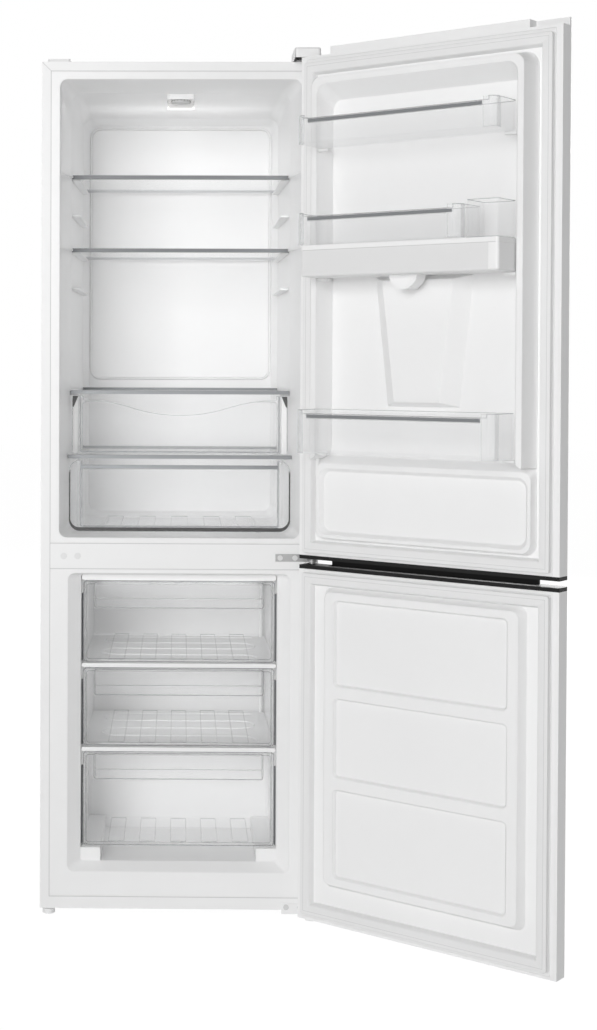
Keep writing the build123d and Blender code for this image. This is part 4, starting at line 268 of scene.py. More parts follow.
    def _clearness(self, tree: bpy.types.NodeTree, shader: bpy.types.Node) -> None:
        """Clear in the middle, fuller where the surface turns away, and fuller along the painted shade of its
        edges.

        Args:
            tree: the material's node tree.
            shader: the surface shader.
        """
        facing = tree.nodes.new("ShaderNodeLayerWeight")
        facing.inputs["Blend"].default_value = FACING_BLEND
        spread = tree.nodes.new("ShaderNodeMapRange")
        spread.inputs["To Min"].default_value = self.alpha
        spread.inputs["To Max"].default_value = self.rim_alpha
        tree.links.new(facing.outputs["Facing"], spread.inputs["Value"])
        if self.edge_shade_width == 0.0:
            tree.links.new(spread.outputs["Result"], shader.inputs["Alpha"])
            return
        # painted shade: the edges of a clear piece also get fuller, so that their painted dark colour shows
        most = tree.nodes.new("ShaderNodeMapRange")
        most.inputs["To Max"].default_value = self.edge_shade_alpha
        tree.links.new(self._edge_shade(tree), most.inputs["Value"])
        fuller = tree.nodes.new("ShaderNodeMath")
        fuller.operation = "MAXIMUM"
        tree.links.new(spread.outputs["Result"], fuller.inputs[0])
        tree.links.new(most.outputs["Result"], fuller.inputs[1])
        tree.links.new(fuller.outputs[0], shader.inputs["Alpha"])


@dataclass(frozen=True)
class ShadedTrim(Finish):
    """Shelf trim: dark metal in front and pale plastic at the rear of the shelf.

    Attributes: the rear part's colour, the depth at which the trim changes, in metres, and how
    much the front's colour drifts.
    """

    rear_colour: Colour = (0.64, 0.645, 0.655)
    change: float = -0.05
    front_drift: float = 0.03

    def _colour(self, tree: bpy.types.NodeTree, shader: bpy.types.Node) -> None:
        """Base colour that depends on which trim it is.

        Args:
            tree: the material's node tree.
            shader: the surface shader.
        """
        place = tree.nodes.new("ShaderNodeTexCoord")
        axes = tree.nodes.new("ShaderNodeSeparateXYZ")
        where = tree.nodes.new("ShaderNodeMath")
        where.operation = "GREATER_THAN"
        where.inputs[1].default_value = self.change
        mix = tree.nodes.new("ShaderNodeMix")
        mix.data_type = "RGBA"
        mix.inputs["B"].default_value = (*self.rear_colour, 1.0)
        tree.links.new(place.outputs["Object"], axes.inputs["Vector"])
        tree.links.new(axes.outputs["Y"], where.inputs[0])
        tree.links.new(where.outputs[0], mix.inputs["Factor"])
        tree.links.new(self._drifting(tree, self.front_drift, (0.0, 1.0)), mix.inputs["A"])
        tree.links.new(mix.outputs["Result"], shader.inputs["Base Color"])


WHITE_STEEL = Finish("white_coated_steel", grey(243), roughness=0.38, grain=900, depth=0.00003)
LINER_PLASTIC = Finish("white_moulded_lining", grey(244), roughness=0.3, grain=1400, depth=0.00001,
                       round_edge=0.004)
WHITE_PLASTIC = Finish("white_moulded_plastic", grey(243), roughness=0.36, grain=1800, depth=0.00002)
GASKET_RUBBER = Finish("pale_soft_seal", grey(236), roughness=0.6, grain=2500, depth=0.00002, gloss=0.3)
BLACK_PLASTIC = Finish("black_moulded_plastic", grey(9), roughness=0.5, grain=2200, depth=0.00003,
                       gloss=0.25)
GREY_PLASTIC = Finish("grey_moulded_plastic", grey(165), roughness=0.42, grain=2000, depth=0.00003)
SILVER_TRIM = Finish("silver_coated_trim", grey(150, 2), roughness=0.3, metallic=0.55,
                     texture=Texture.BRUSHED, grain=1500, depth=0.00001)
ZINC_STEEL = Finish("zinc_plated_steel", grey(178), roughness=0.35, metallic=0.9,
                    texture=Texture.CELLS, grain=320, depth=0.00002, drift=0.05)
GREY_STEEL = Finish("grey_coated_steel", grey(182), roughness=0.45, grain=600, depth=0.00003)
SHELF_GLASS = Finish("float_glass", (0.86, 0.875, 0.88), roughness=0.05, alpha=0.03, rim_alpha=0.14,
                     texture=Texture.SMOOTH, gloss=0.6)
# the edge settings below paint dark lines on the clear plastics' edges: painted shade standing in for refraction
# at their rims
CLEAR_PLASTIC = Finish("clear_styrene", grey(246, 1), roughness=0.12, alpha=0.03, rim_alpha=0.17,
                       texture=Texture.SMOOTH, gloss=0.7, edge_shade_width=0.003, edge_shade_alpha=0.55,
                       edge_shade_colour=grey(168, 2))
BIN_PLASTIC = Finish("clear_bin_styrene", grey(244, 1), roughness=0.12, alpha=0.035, rim_alpha=0.2,
                     texture=Texture.SMOOTH, gloss=0.8, edge_shade_width=0.003, edge_shade_alpha=0.75,
                     edge_shade_colour=grey(128, 2), edge_turn=0.9)
DIAL_PLASTIC = Finish("pale_grey_dial", grey(196), roughness=0.4, grain=2200, depth=0.00002)
LENS_PLASTIC = Finish("milky_lens", grey(250), roughness=0.4, alpha=0.4, rim_alpha=0.5,
                      texture=Texture.SMOOTH, glow=0.12)
LIT_LENS = Finish("lit_lens_rim", grey(250), roughness=0.4, texture=Texture.SMOOTH, glow=1.0)
FOAM = Finish("insulation_foam", (0.78, 0.7, 0.45), roughness=0.9, texture=Texture.CELLS, grain=500,
              depth=0.0004, drift=0.1)
ALUMINIUM = Finish("rolled_aluminium", grey(205), roughness=0.3, metallic=0.95, texture=Texture.BRUSHED)
BLACK_PAINT = Finish("black_baked_paint", grey(26), roughness=0.4, grain=700, depth=0.00005)
BLACK_RUBBER = Finish("black_rubber", grey(24), roughness=0.75, grain=1500, depth=0.00006)
COPPER = Finish("drawn_copper", (0.72, 0.33, 0.2), roughness=0.3, metallic=1.0, texture=Texture.BRUSHED,
                drift=0.12)

# painted shade: grey strips that stand in for the shadow in seams, grooves and mitres
SEAM_SHADE_GREY = Finish("seam_shadow_grey", grey(204), roughness=0.6, grain=1200, depth=0.00001)
SEAM_SHADE_PALE = Finish("seam_pale_shadow_grey", grey(214), roughness=0.6, grain=1200, depth=0.00001)
DARK_GREY_PLASTIC = Finish("dark_grey_plastic", grey(72), roughness=0.45, grain=2000, depth=0.00002)
# painted shade: dark grey of the strips in the gaps beside the freezer drawers
GAP_SHADE_GREY = Finish("painted_gap_shade", grey(104, 2), roughness=0.5, grain=2000, depth=0.00002)
PRINT_GREY = Finish("printed_grey", grey(120), roughness=0.6, grain=3000, depth=0.000005)
# painted shade: dark band round the crisper front's lower edge, standing in for the dark edge of the clear front
CRISPER_EDGE_SHADE = Finish("painted_clear_edge_shade", grey(72), roughness=0.25, alpha=0.85, rim_alpha=0.95,
                     texture=Texture.SMOOTH)
# partly painted shade: the drawer lines are real moulded rims, their grey stands in for refraction at them
LINE_SHADE_PLASTIC = Finish("moulded_line_painted_shade", grey(160), roughness=0.25, alpha=0.36, rim_alpha=0.6,
                    texture=Texture.SMOOTH)
# the edge settings paint dark lines along the faceted ends' edges: painted shade standing in for refraction
FACET_PLASTIC = Finish("clear_faceted_end", grey(240, 1), roughness=0.1, alpha=0.14, rim_alpha=0.5,
                       texture=Texture.SMOOTH, gloss=0.8, edge_shade_width=0.002, edge_shade_alpha=0.6,
                       edge_shade_colour=grey(140, 2))
STRIP_METAL = Finish("brushed_bin_strip", grey(128, 2), roughness=0.32, metallic=0.6,
                     texture=Texture.BRUSHED, grain=1500, depth=0.00001)
TANK_PLASTIC = Finish("tank_plastic", grey(228), roughness=0.34, grain=1800, depth=0.00002)

TRIM_LIGHT = Finish("light_metal_trim", grey(138, 2), roughness=0.38, metallic=0.3,
                    texture=Texture.SMOOTH, grain=1500)
SHELF_TRIM = ShadedTrim("dark_metal_trim", grey(108, 2), roughness=0.4, metallic=0.2,
                        texture=Texture.SMOOTH, grain=1500)

PLATED_PLATE = Finish("plated_hinge_plate", grey(160), roughness=0.4, metallic=0.7,
                      texture=Texture.CELLS, grain=420, depth=0.00004, drift=0.08)
BRIGHT_SCREW = Finish("bright_screw_steel", grey(208), roughness=0.3, metallic=0.4, grain=900)
COVER_PLASTIC = Finish("cover_cap_plastic", grey(230), roughness=0.4, grain=1800, depth=0.00002)

NODE_FINISHES: dict[str, Finish] = {
    "hinge_screws": BRIGHT_SCREW,
    "hole_covers": COVER_PLASTIC,
    "water_tank": TANK_PLASTIC,
    "middle_hinge_bracket": PLATED_PLATE,
    "cover_trims": TRIM_LIGHT,
    "thermostat_dial": DIAL_PLASTIC,
    "top_bin": BIN_PLASTIC,
    "middle_bin": BIN_PLASTIC,
    "bottom_bin": BIN_PLASTIC,
    "tank_filler": BIN_PLASTIC,
    "upper_shelf_trims": SHELF_TRIM,
    "lower_shelf_trims": SHELF_TRIM,
}

SLOT_FINISHES: dict[str, Finish] = {
    "white_steel": WHITE_STEEL,
    "grey_steel": GREY_STEEL,
    "zinc_steel": ZINC_STEEL,
    "foam": FOAM,
    "white_liner": LINER_PLASTIC,
    "white_plastic": WHITE_PLASTIC,
    "aluminium_sheet": ALUMINIUM,
    "lens_plastic": LENS_PLASTIC,
    "glass": SHELF_GLASS,
    "silver_trim": SILVER_TRIM,
    "clear_plastic": CLEAR_PLASTIC,
    "grey_plastic": GREY_PLASTIC,
    "black_paint": BLACK_PAINT,
    "black_rubber": BLACK_RUBBER,
    "copper": COPPER,
    "black_plastic": BLACK_PLASTIC,
    "grey_gasket": GASKET_RUBBER,
}


class Paintbox:
    """Keeps one material for each finish."""

    def __init__(self) -> None:
        """Starts empty."""
        self._made: dict[str, bpy.types.Material] = {}

    def get(self, finish: Finish) -> bpy.types.Material:
        """Material of a finish, made once.

        Args:
            finish: the finish wanted.

        Returns:
            The material.
        """
        if finish.name not in self._made:
            self._made[finish.name] = finish.build()
        return self._made[finish.name]

    def dress(self, piece: bpy.types.Object, finish: Finish) -> None:
        """Gives every material slot of a piece one finish.

        Args:
            piece: the object to dress.
            finish: its finish.
        """
        material = self.get(finish)
        if not piece.material_slots:
            piece.data.materials.append(material)
        for slot in piece.material_slots:
            slot.material = material


PAINT = Paintbox()


def dress_frame() -> None:
    """Gives every CAD node the finish of its material slot."""
    for part in frame["record"]["subparts"]:
        node = frame["nodes"][part["node"]]
        finish = NODE_FINISHES.get(part["node"], SLOT_FINISHES[part["material_slot"]])
        PAINT.dress(node, finish)
        log.info("dressed %s", part["node"])


# ---------------------------------------------------------------- piece making

Outline = Sequence[tuple[float, float]]
LEAST_RADIUS = 0.6      # smallest corner of a ring, in millimetres
SUNK = 0.3              # how far thin lines stand in what carries them, in millimetres


class Run(Enum):
    """Direction in which a prism runs, with the two axes of its outline."""

    ALONG_X = (1, 2, 0)
    ALONG_Y = (0, 2, 1)
    ALONG_Z = (0, 1, 2)


def arc(cx: float, cz: float, radius: float, start: float, turn: float,
        steps: int) -> list[tuple[float, float]]:
    """Points along a part of a circle.

    Args:
        cx: its middle, across.
        cz: its middle, up.
        radius: its radius.
        start: the angle at which it starts, in degrees.
        turn: how far it turns, in degrees.
        steps: into how many parts.

    Returns:
        The points.
    """
    angles = [math.radians(start + turn * step / steps) for step in range(steps + 1)]
    return [(cx + radius * math.cos(angle), cz + radius * math.sin(angle)) for angle in angles]


def rounded(x0: float, x1: float, z0: float, z1: float, radius: float,
            steps: int = 6) -> list[tuple[float, float]]:
    """Outline of a rounded rectangle.

    Args:
        x0: left side.
        x1: right side.
        z0: lower side.
        z1: upper side.
        radius: corner radius.
        steps: parts of each corner.

    Returns:
        The points, counter-clockwise from the lower right corner.
    """
    corners = ((x1 - radius, z0 + radius, -90), (x1 - radius, z1 - radius, 0),
               (x0 + radius, z1 - radius, 90), (x0 + radius, z0 + radius, 180))
    return [point for cx, cz, start in corners for point in arc(cx, cz, radius, start, 90, steps)]


class Form:
    """Mesh of one piece in millimetres, put together from simple solids."""

    def __init__(self, name: str) -> None:
        """Starts an empty piece.

        Args:
            name: the piece's name.
        """
        self.name = name
        self.mesh = bmesh.new()

    def block(self, x0: float, x1: float, y0: float, y1: float, z0: float, z1: float) -> "Form":
        """Adds a block between two corners.

        Args:
            x0: left side.
            x1: right side.
            y0: front.
            y1: rear.
            z0: underside.
            z1: top.

        Returns:
            The piece itself.
        """
        return self.prism([(x0, z0), (x1, z0), (x1, z1), (x0, z1)], Run.ALONG_Y, y0, y1)

    def prism(self, outline: Outline, run: Run, start: float, end: float) -> "Form":
        """Adds a prism on an outline.

        Args:
            outline: the corners, in the two axes that the run leaves.
            run: the direction of the prism.
            start: where it starts.
            end: where it ends.

        Returns:
            The piece itself.
        """
        first, second, along = run.value
        rows = []
        for depth in (start, end):
            row = []
            for a, b in outline:
                place = [0.0, 0.0, 0.0]
                place[first], place[second], place[along] = a, b, depth
                row.append(self.mesh.verts.new(place))
            rows.append(row)
        self._skin(rows)
        self.mesh.faces.new(rows[0][::-1])
        self.mesh.faces.new(rows[-1])
        return self

    def ring(self, section: Outline, sides: tuple[float, float, float, float], radius: float, y0: float,
             steps: int = 6) -> "Form":
        """Adds a ring that runs round a rounded rectangle across the front.

        Args:
            section: the ring's section, inwards from its outer edge and up from y0.
            sides: left, right, lower and upper side of its outer edge.
            radius: outer corner radius.
            y0: the plane that it stands on.
            steps: parts of each corner.

        Returns:
            The piece itself.
        """
        x0, x1, z0, z1 = sides
        loops = []
        for inwards, up in section:
            outline = rounded(x0 + inwards, x1 - inwards, z0 + inwards, z1 - inwards,
                              max(radius - inwards, LEAST_RADIUS), steps)
            loops.append([self.mesh.verts.new((x, y0 + up, z)) for x, z in outline])
        self._skin(loops + loops[:1])
        return self

    def text(self, words: str, height: float, thick: float, place: Matrix) -> "Form":
        """Adds a numeral.

        Args:
            words: what it says.
            height: its height.
            thick: how proud it stands.
            place: its place in millimetres.

        Returns:
            The piece itself.
        """
        curve = bpy.data.curves.new(self.name, "FONT")
        curve.body = words
        curve.size = height
        curve.extrude = thick / 2
        curve.align_x = "CENTER"
        curve.align_y = "CENTER"
        carrier = bpy.data.objects.new(self.name + "_numeral", curve)
        mesh = bpy.data.meshes.new_from_object(carrier)
        mesh.transform(place)
        self.mesh.from_mesh(mesh)
        bpy.data.objects.remove(carrier)
        bpy.data.curves.remove(curve)
        bpy.data.meshes.remove(mesh)
        return self

    def _skin(self, rows: list[list[bmesh.types.BMVert]]) -> None:
        """Joins rows of points with faces.

        Args:
            rows: the rows, each a closed loop of as many points.
        """
        for this, after in zip(rows, rows[1:]):
            for n, vert in enumerate(this):
                m = (n + 1) % len(this)
                self.mesh.faces.new((vert, this[m], after[m], after[n]))

    def done(self, body: str, finish: Finish, edge: float = 0.3,
             swing: Matrix | None = None) -> bpy.types.Object:
        """Turns the mesh into a dressed piece that rides on a body.

        Args:
            body: the body that it rides on.
            finish: its finish.
            edge: how far its edges are rounded, in millimetres.
            swing: how it turns from a shut door to its place.

        Returns:
            The piece.
        """
        bmesh.ops.recalc_face_normals(self.mesh, faces=self.mesh.faces[:])
        self.mesh.transform((swing or Matrix.Identity(4)) @ Matrix.Scale(MM, 4))
        mesh = bpy.data.meshes.new(self.name)
        self.mesh.to_mesh(mesh)
        self.mesh.free()
        mesh.polygons.foreach_set("use_smooth", [True] * len(mesh.polygons))
        mesh.set_sharp_from_angle(angle=SMOOTH_ANGLE)
        piece = bpy.data.objects.new(self.name, mesh)
        bpy.context.scene.collection.objects.link(piece)
        if edge > 0.0:
            bevel = piece.modifiers.new("edges", "BEVEL")
            bevel.width = edge * MM
            bevel.segments = 2
            bevel.limit_method = "ANGLE"
            bevel.angle_limit = SMOOTH_ANGLE
        PAINT.dress(piece, finish)
        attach(piece, body)
        log.info("made %s", self.name)
        return piece


def door_swing(joint_name: str) -> Matrix:
    """Turn from a shut door to the open door of the stored pose.

    Args:
        joint_name: the door's hinge.

    Returns:
        The turn about the hinge line, in metres.
    """
    joint = next(joint for joint in frame["joints"] if joint["name"] == joint_name)
    x, y, _ = joint["pos_m"]
    anchor = Matrix.Translation((x, y, 0.0))
    turn = Matrix.Rotation(-math.radians(joint["range_deg"][0]), 4, "Z")
    return anchor @ turn @ anchor.inverted()


# ---------------------------------------------------------------- case

@dataclass
class CaseFront:
    """Fine seams where the linings meet the folded steel front, and mitres at the top corners, drawn as thin grey
    strips of painted shade that stand in for the shadow in these hairline gaps.
    """

    half: float = 300.0
    top: float = 1850.0
    flange: float = 20.0
    low: float = 42.0
    bar_low: float = 755.0
    bar_high: float = 810.0
    front: float = -267.5
    width: float = 1.3
    proud: float = 0.2
    rim: float = 1.0

    def build(self) -> None:
        """Makes the strips of painted seam shade."""
        side, high = self.half - self.flange, self.top - self.flange
        seams = Form("front_seam_shades")
        for x in (-side, side):
            self._line(seams, (x, self.low), (x, high))
        for z in (self.low, self.bar_low, self.bar_high, high):
            self._line(seams, (-side, z), (side, z))
        seams.done("cabinet", SEAM_SHADE_GREY, edge=0.0)
        mitres = Form("corner_mitre_shades")
        for sign in (-1, 1):
            self._line(mitres, (sign * side, high), (sign * (self.half - self.rim), self.top - self.rim))
        mitres.done("cabinet", SEAM_SHADE_PALE, edge=0.0)

    def _line(self, form: Form, start: tuple[float, float], end: tuple[float, float]) -> None:
        """Adds one strip of painted seam shade between two points of the front.

        Args:
            form: the piece to add to.
            start: its first end.
            end: its other end.
        """
        along = Vector((end[0] - start[0], end[1] - start[1])).normalized()
        across = Vector((-along.y, along.x)) * self.width / 2
        a, b = Vector(start), Vector(end)
        outline = [tuple(a - across), tuple(b - across), tuple(b + across), tuple(a + across)]
        form.prism(outline, Run.ALONG_Y, self.front - self.proud, self.front + SUNK)


@dataclass
class ShelfGuides:
    """Moulded guides on the flared part of the fridge walls, before each glass shelf."""

    tops: tuple[float, ...] = (1617.0, 1454.5)
    height: float = 5.0
    front: float = -264.0
    knee: float = -162.5
    end: float = -151.0
    mouth: float = 259.3
    waist: float = 243.0
    reach: float = 4.0
    knee_root: float = 1.0
    end_root: float = 0.6
    tip: float = 1.0

    def build(self) -> None:
        """Makes the guides on both walls."""
        guides = Form("shelf_guides")
        inner = self.waist - self.reach
        for top in self.tops:
            for sign in (-1, 1):
                outline = [(sign * self.mouth, self.front),
                           (sign * (self.waist + self.knee_root), self.knee),
                           (sign * (self.waist + self.end_root), self.end), (sign * inner, self.end),
                           (sign * inner, self.knee), (sign * (self.mouth - self.tip), self.front)]
                guides.prism(outline, Run.ALONG_Z, top - self.height, top)
        guides.done("cabinet", WHITE_PLASTIC, edge=1.0)


@dataclass
class BackWallBead:
    """Low moulded bead that frames the flat part of the fridge's back wall."""

    half: float = 221.0
    low: float = 1160.0
    high: float = 1774.0
    wall: float = 212.5
    width: float = 7.0
    height: float = 1.6
    radius: float = 26.0
    root: float = 0.4
    shoulders: tuple[float, float] = (0.28, 0.72)
    shoulder_rise: float = 0.8
    steps: int = 8

    def build(self) -> None:
        """Makes the bead."""
        bead = Form("back_wall_bead")
        w, h = self.width, -self.height
        near, far = self.shoulders
        section = [(0.0, self.root), (self.root, 0.0), (near * w, self.shoulder_rise * h), (0.5 * w, h),
                   (far * w, self.shoulder_rise * h), (w - self.root, 0.0), (w, self.root)]
        bead.ring(section, (-self.half, self.half, self.low, self.high), self.radius, self.wall, self.steps)
        bead.done("cabinet", LINER_PLASTIC, edge=0.0)


@dataclass
class LensRim:
    """Lit lower rim of the lamp's lens, round the front and both sides."""

    width: float = 2.4
    height: float = 2.6
    corner: float = 9.0
    corner_steps: int = 6
    reach: float = 40.0
    hang: float = 0.2

    def build(self) -> None:
        """Makes the rim on the lens."""
        low, high = (Vector(corner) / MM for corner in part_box("lamp_lens"))
        outer = self._bow(low, high, 0.0)
        inner = self._bow(low, high, self.width)
        rim = Form("lens_rim")
        rim.prism(outer + inner[::-1], Run.ALONG_Z, low.z - self.hang, low.z + self.height)
        rim.done("cabinet", LIT_LENS, edge=0.0)

    def _bow(self, low: Vector, high: Vector, inset: float) -> list[tuple[float, float]]:
        """Outline from the left side round the rear to the right side.

        Args:
            low: low corner of the lens.
            high: high corner of the lens.
            inset: how far inside the lens the outline runs.

        Returns:
            The points in plan.
        """
        x0, x1, y1 = low.x + inset, high.x - inset, high.y - inset
        radius = self.corner - inset
        return [(x0, y1 - self.reach),
                *arc(x0 + radius, y1 - radius, radius, 180, -90, self.corner_steps),
                *arc(x1 - radius, y1 - radius, radius, 90, -90, self.corner_steps),
                (x1, y1 - self.reach)]


@dataclass
class ThermostatScale:
    """Numerals round the rim of the thermostat dial."""

    numerals: tuple[str, ...] = ("1", "2", "3", "4", "5", "6", "7")
    step_deg: float = 22.0
    height: float = 5.5
    thick: float = 0.3
    rim: float = 10.0
    sunk: float = 0.1

    def build(self) -> None:
        """Makes the numerals on the dial."""
        low, high = (Vector(corner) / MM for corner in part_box("thermostat_dial"))
        middle = (low + high) / 2
        radius = (high.x - low.x) / 2
        form = Form("dial_numerals")
        for n, words in enumerate(self.numerals):
            angle = math.radians((n - (len(self.numerals) - 1) / 2) * self.step_deg)
            place = (Matrix.Translation((middle.x, middle.y, low.z + self.rim / 2))
                     @ Matrix.Rotation(angle, 4, "Z")
                     @ Matrix.Translation((0.0, -radius - self.thick / 2 + self.sunk, 0.0))
                     @ Matrix.Rotation(math.radians(90.0), 4, "X"))
            form.text(words, self.height, self.thick, place)
        form.done("dial", PRINT_GREY, edge=0.0)


# ---------------------------------------------------------------- trays and drawers

@dataclass
class ChillTrayFront:
    """White corner posts of the chill tray with their dark clips."""

    inner: float = 226.0
    outer: float = 238.5
    front: float = -160.0
    rear: float = -153.6
    low: float = 999.5
    high: float = 1127.5
    post_sunk: float = 2.0
    post_radius: float = 3.0
    clip_low: float = 1103.0
    clip_thick: float = 1.6
    clip_sunk: float = 0.5
    clip_shape: tuple[tuple[float, float], ...] = (
        (0.0, 24.0), (12.5, 24.0), (11.0, 21.0), (4.0, 4.0), (2.0, 0.0), (0.0, 0.0))

    def build(self) -> None:
        """Makes the posts and the clips."""
        posts = Form("chill_tray_posts")
        clips = Form("chill_tray_clips")
        for sign in (-1, 1):
            x0, x1 = sorted((sign * self.inner, sign * self.outer))
            posts.prism(rounded(x0, x1, self.front, self.rear + self.post_sunk, self.post_radius, 4),
                        Run.ALONG_Z, self.low, self.high)
            outline = [(sign * (self.outer - inwards), self.clip_low + up)
                       for inwards, up in self.clip_shape]
            clips.prism(outline, Run.ALONG_Y, self.front - self.clip_thick, self.front + self.clip_sunk)
        posts.done("chill_drawer", WHITE_PLASTIC, edge=0.8)
        clips.done("chill_drawer", DARK_GREY_PLASTIC, edge=0.5)


@dataclass
class CrisperFront:
    """Grey grip bar of the crisper's front, and a dark band of painted shade round its lower edge."""

    body: str = "crisper"
    node: str = "crisper_drawer"
    panel: float = -196.5
    radius: float = 25.0
    inner_radius: float = 20.0
    corner_steps: int = 8
    side_inset: float = 0.6
    foot_inset: float = 1.0
    side_width: float = 3.0
    foot_width: float = 8.0
    rise: float = 128.0
    proud: float = 0.6
    sunk: float = 1.0
    grip_half: float = 217.0
    grip_height: float = 7.5
    grip_drop: float = 11.0
    grip_proud: float = 0.8

    def build(self) -> None:
        """Makes the bar and the painted edge shade."""
        low, high = (Vector(corner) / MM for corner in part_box(self.node))
        half, base = high.x - self.side_inset, low.z + self.foot_inset
        outer = self._bow(half, base, self.radius)
        inner = self._bow(half - self.side_width, base + self.foot_width, self.inner_radius)
        edge = Form("crisper_lower_edge_shade")
        edge.prism(outer + inner[::-1], Run.ALONG_Y, self.panel - self.proud, self.panel + self.sunk)
        edge.done(self.body, CRISPER_EDGE_SHADE, edge=0.0)
        grip = Form("crisper_grip_bar")
        top = high.z - self.grip_drop
        grip.block(-self.grip_half, self.grip_half, low.y - self.grip_proud, low.y + self.sunk,
                   top - self.grip_height, top)
        grip.done(self.body, STRIP_METAL, edge=0.6)

    def _bow(self, half: float, base: float, radius: float) -> list[tuple[float, float]]:
        """Outline down one side, along the foot and up the other side.

        Args:
            half: half width.
            base: height of the foot.
            radius: corner radius.

        Returns:
            The points from the left top to the right top.
        """
        return [(-half, base + self.rise),
                *arc(-half + radius, base + radius, radius, 180, 90, self.corner_steps),
                *arc(half - radius, base + radius, radius, 270, 90, self.corner_steps),
                (half, base + self.rise)]


@dataclass
class DrawerFront:
    """Moulded border lines of one freezer drawer and of its flap grip; the rims are real, their grey is painted
    shade of the refraction at these clear rims.
    """

    body: str
    node: str
    panel: float = -228.5
    flap_half: float = 185.0
    flap_height: float = 58.0
    flap_drop: float = 1.0
    flap_radius: float = 6.0
    flap_rim: float = 0.4
    fold_inset: float = 4.0
    fold: tuple[float, float] = (36.5, 35.3)
    line: float = 1.5
    inner_line: float = 0.7
    proud: float = 0.35
    insets: tuple[float, float] = (0.6, 7.0)
    radii: tuple[float, float] = (7.0, 5.0)

    def build(self) -> None:
        """Makes the lines of the panel and the flap."""
        low, high = (Vector(corner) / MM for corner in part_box(self.node))
        section = [(0.0, SUNK), (0.0, -self.proud), (self.line, -self.proud), (self.line, SUNK)]
        lines = Form(self.node + "_border")
        for share, inset, radius in zip((1.0, self.inner_line), self.insets, self.radii):
            lines.ring([(a * share, b) for a, b in section],
                       (low.x + inset, high.x - inset, low.z + inset, high.z - inset), radius, self.panel)
        top = high.z - self.flap_drop
        lines.ring(section, (-self.flap_half, self.flap_half, top - self.flap_height, top - self.flap_rim),
                   self.flap_radius, low.y)
        fold_half = self.flap_half - self.fold_inset
        lines.block(-fold_half, fold_half, low.y - self.proud, low.y + SUNK,
                    top - self.fold[0], top - self.fold[1])
        lines.done(self.body, LINE_SHADE_PLASTIC, edge=0.0)


@dataclass
class DrawerGapShades:
    """Dark strips on the freezer walls beside the drawers: painted shade standing in for the shadowed gaps between
    drawers and walls.
    """

    nodes: tuple[str, ...] = ("freezer_drawer_top", "freezer_drawer_middle", "freezer_drawer_bottom")
    front: float = -223.0
    rear: float = -213.0
    clear: float = 0.9
    thick: float = 3.6
    foot: float = 2.0
    top_share: float = 0.84

    def build(self) -> None:
        """Makes the strips beside each drawer."""
        strips = Form("drawer_gap_shades")
        for node in self.nodes:
            low, high = (Vector(corner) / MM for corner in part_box(node))
            top = low.z + (high.z - low.z) * self.top_share
            for sign in (-1, 1):
                x0, x1 = sorted((sign * (high.x + self.clear), sign * (high.x + self.clear + self.thick)))
                strips.block(x0, x1, self.front, self.rear, low.z + self.foot, top)
        strips.done("cabinet", GAP_SHADE_GREY, edge=0.6)


# ---------------------------------------------------------------- doors

@dataclass
class DoorSeal:
    """Soft magnetic seal: a flat foot, folded bellows and a magnet sleeve."""

    body: str
    joint: str
    node: str
    low: float
    high: float
    half: float = 286.0
    inner_plane: float = -282.5
    radius: float = 7.0
    steps: int = 5
    # from the outer edge inwards, and up from the door's lining
    section: tuple[tuple[float, float], ...] = (
        (0.0, 0.0), (0.0, 1.6), (2.6, 2.0), (3.0, 4.0), (1.4, 5.4), (1.2, 6.6), (3.4, 8.2), (1.6, 9.8),
        (1.2, 13.4), (2.4, 14.6), (20.6, 14.6), (22.4, 13.8), (23.8, 11.6), (24.9, 8.6), (25.8, 5.4),
        (26.6, 2.6), (27.0, 1.6), (27.0, 0.0))
    # painted shade: a thin pale grey strip on the seal's face that stands in for the shade in its groove
    groove: tuple[tuple[float, float], ...] = ((8.6, 14.3), (8.6, 14.75), (9.5, 14.75), (9.5, 14.3))

    def build(self) -> None:
        """Makes the seal and the painted shade of its groove, and takes the place of the plain one."""
        piece = self._ring("_bellows", self.section, GASKET_RUBBER)
        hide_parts(self.node)
        self._ring("_groove_shade", self.groove, SEAM_SHADE_PALE)

    def _ring(self, suffix: str, section: Outline, finish: Finish) -> bpy.types.Object:
        """Makes one ring round the door.

        Args:
            suffix: what its name adds to the node's.
            section: its section.
            finish: its finish.

        Returns:
            The piece.
        """
        form = Form(self.node + suffix)
        form.ring(section, (-self.half, self.half, self.low, self.high), self.radius, self.inner_plane,
                  self.steps)
        return form.done(self.body, finish, edge=0.0, swing=door_swing(self.joint))


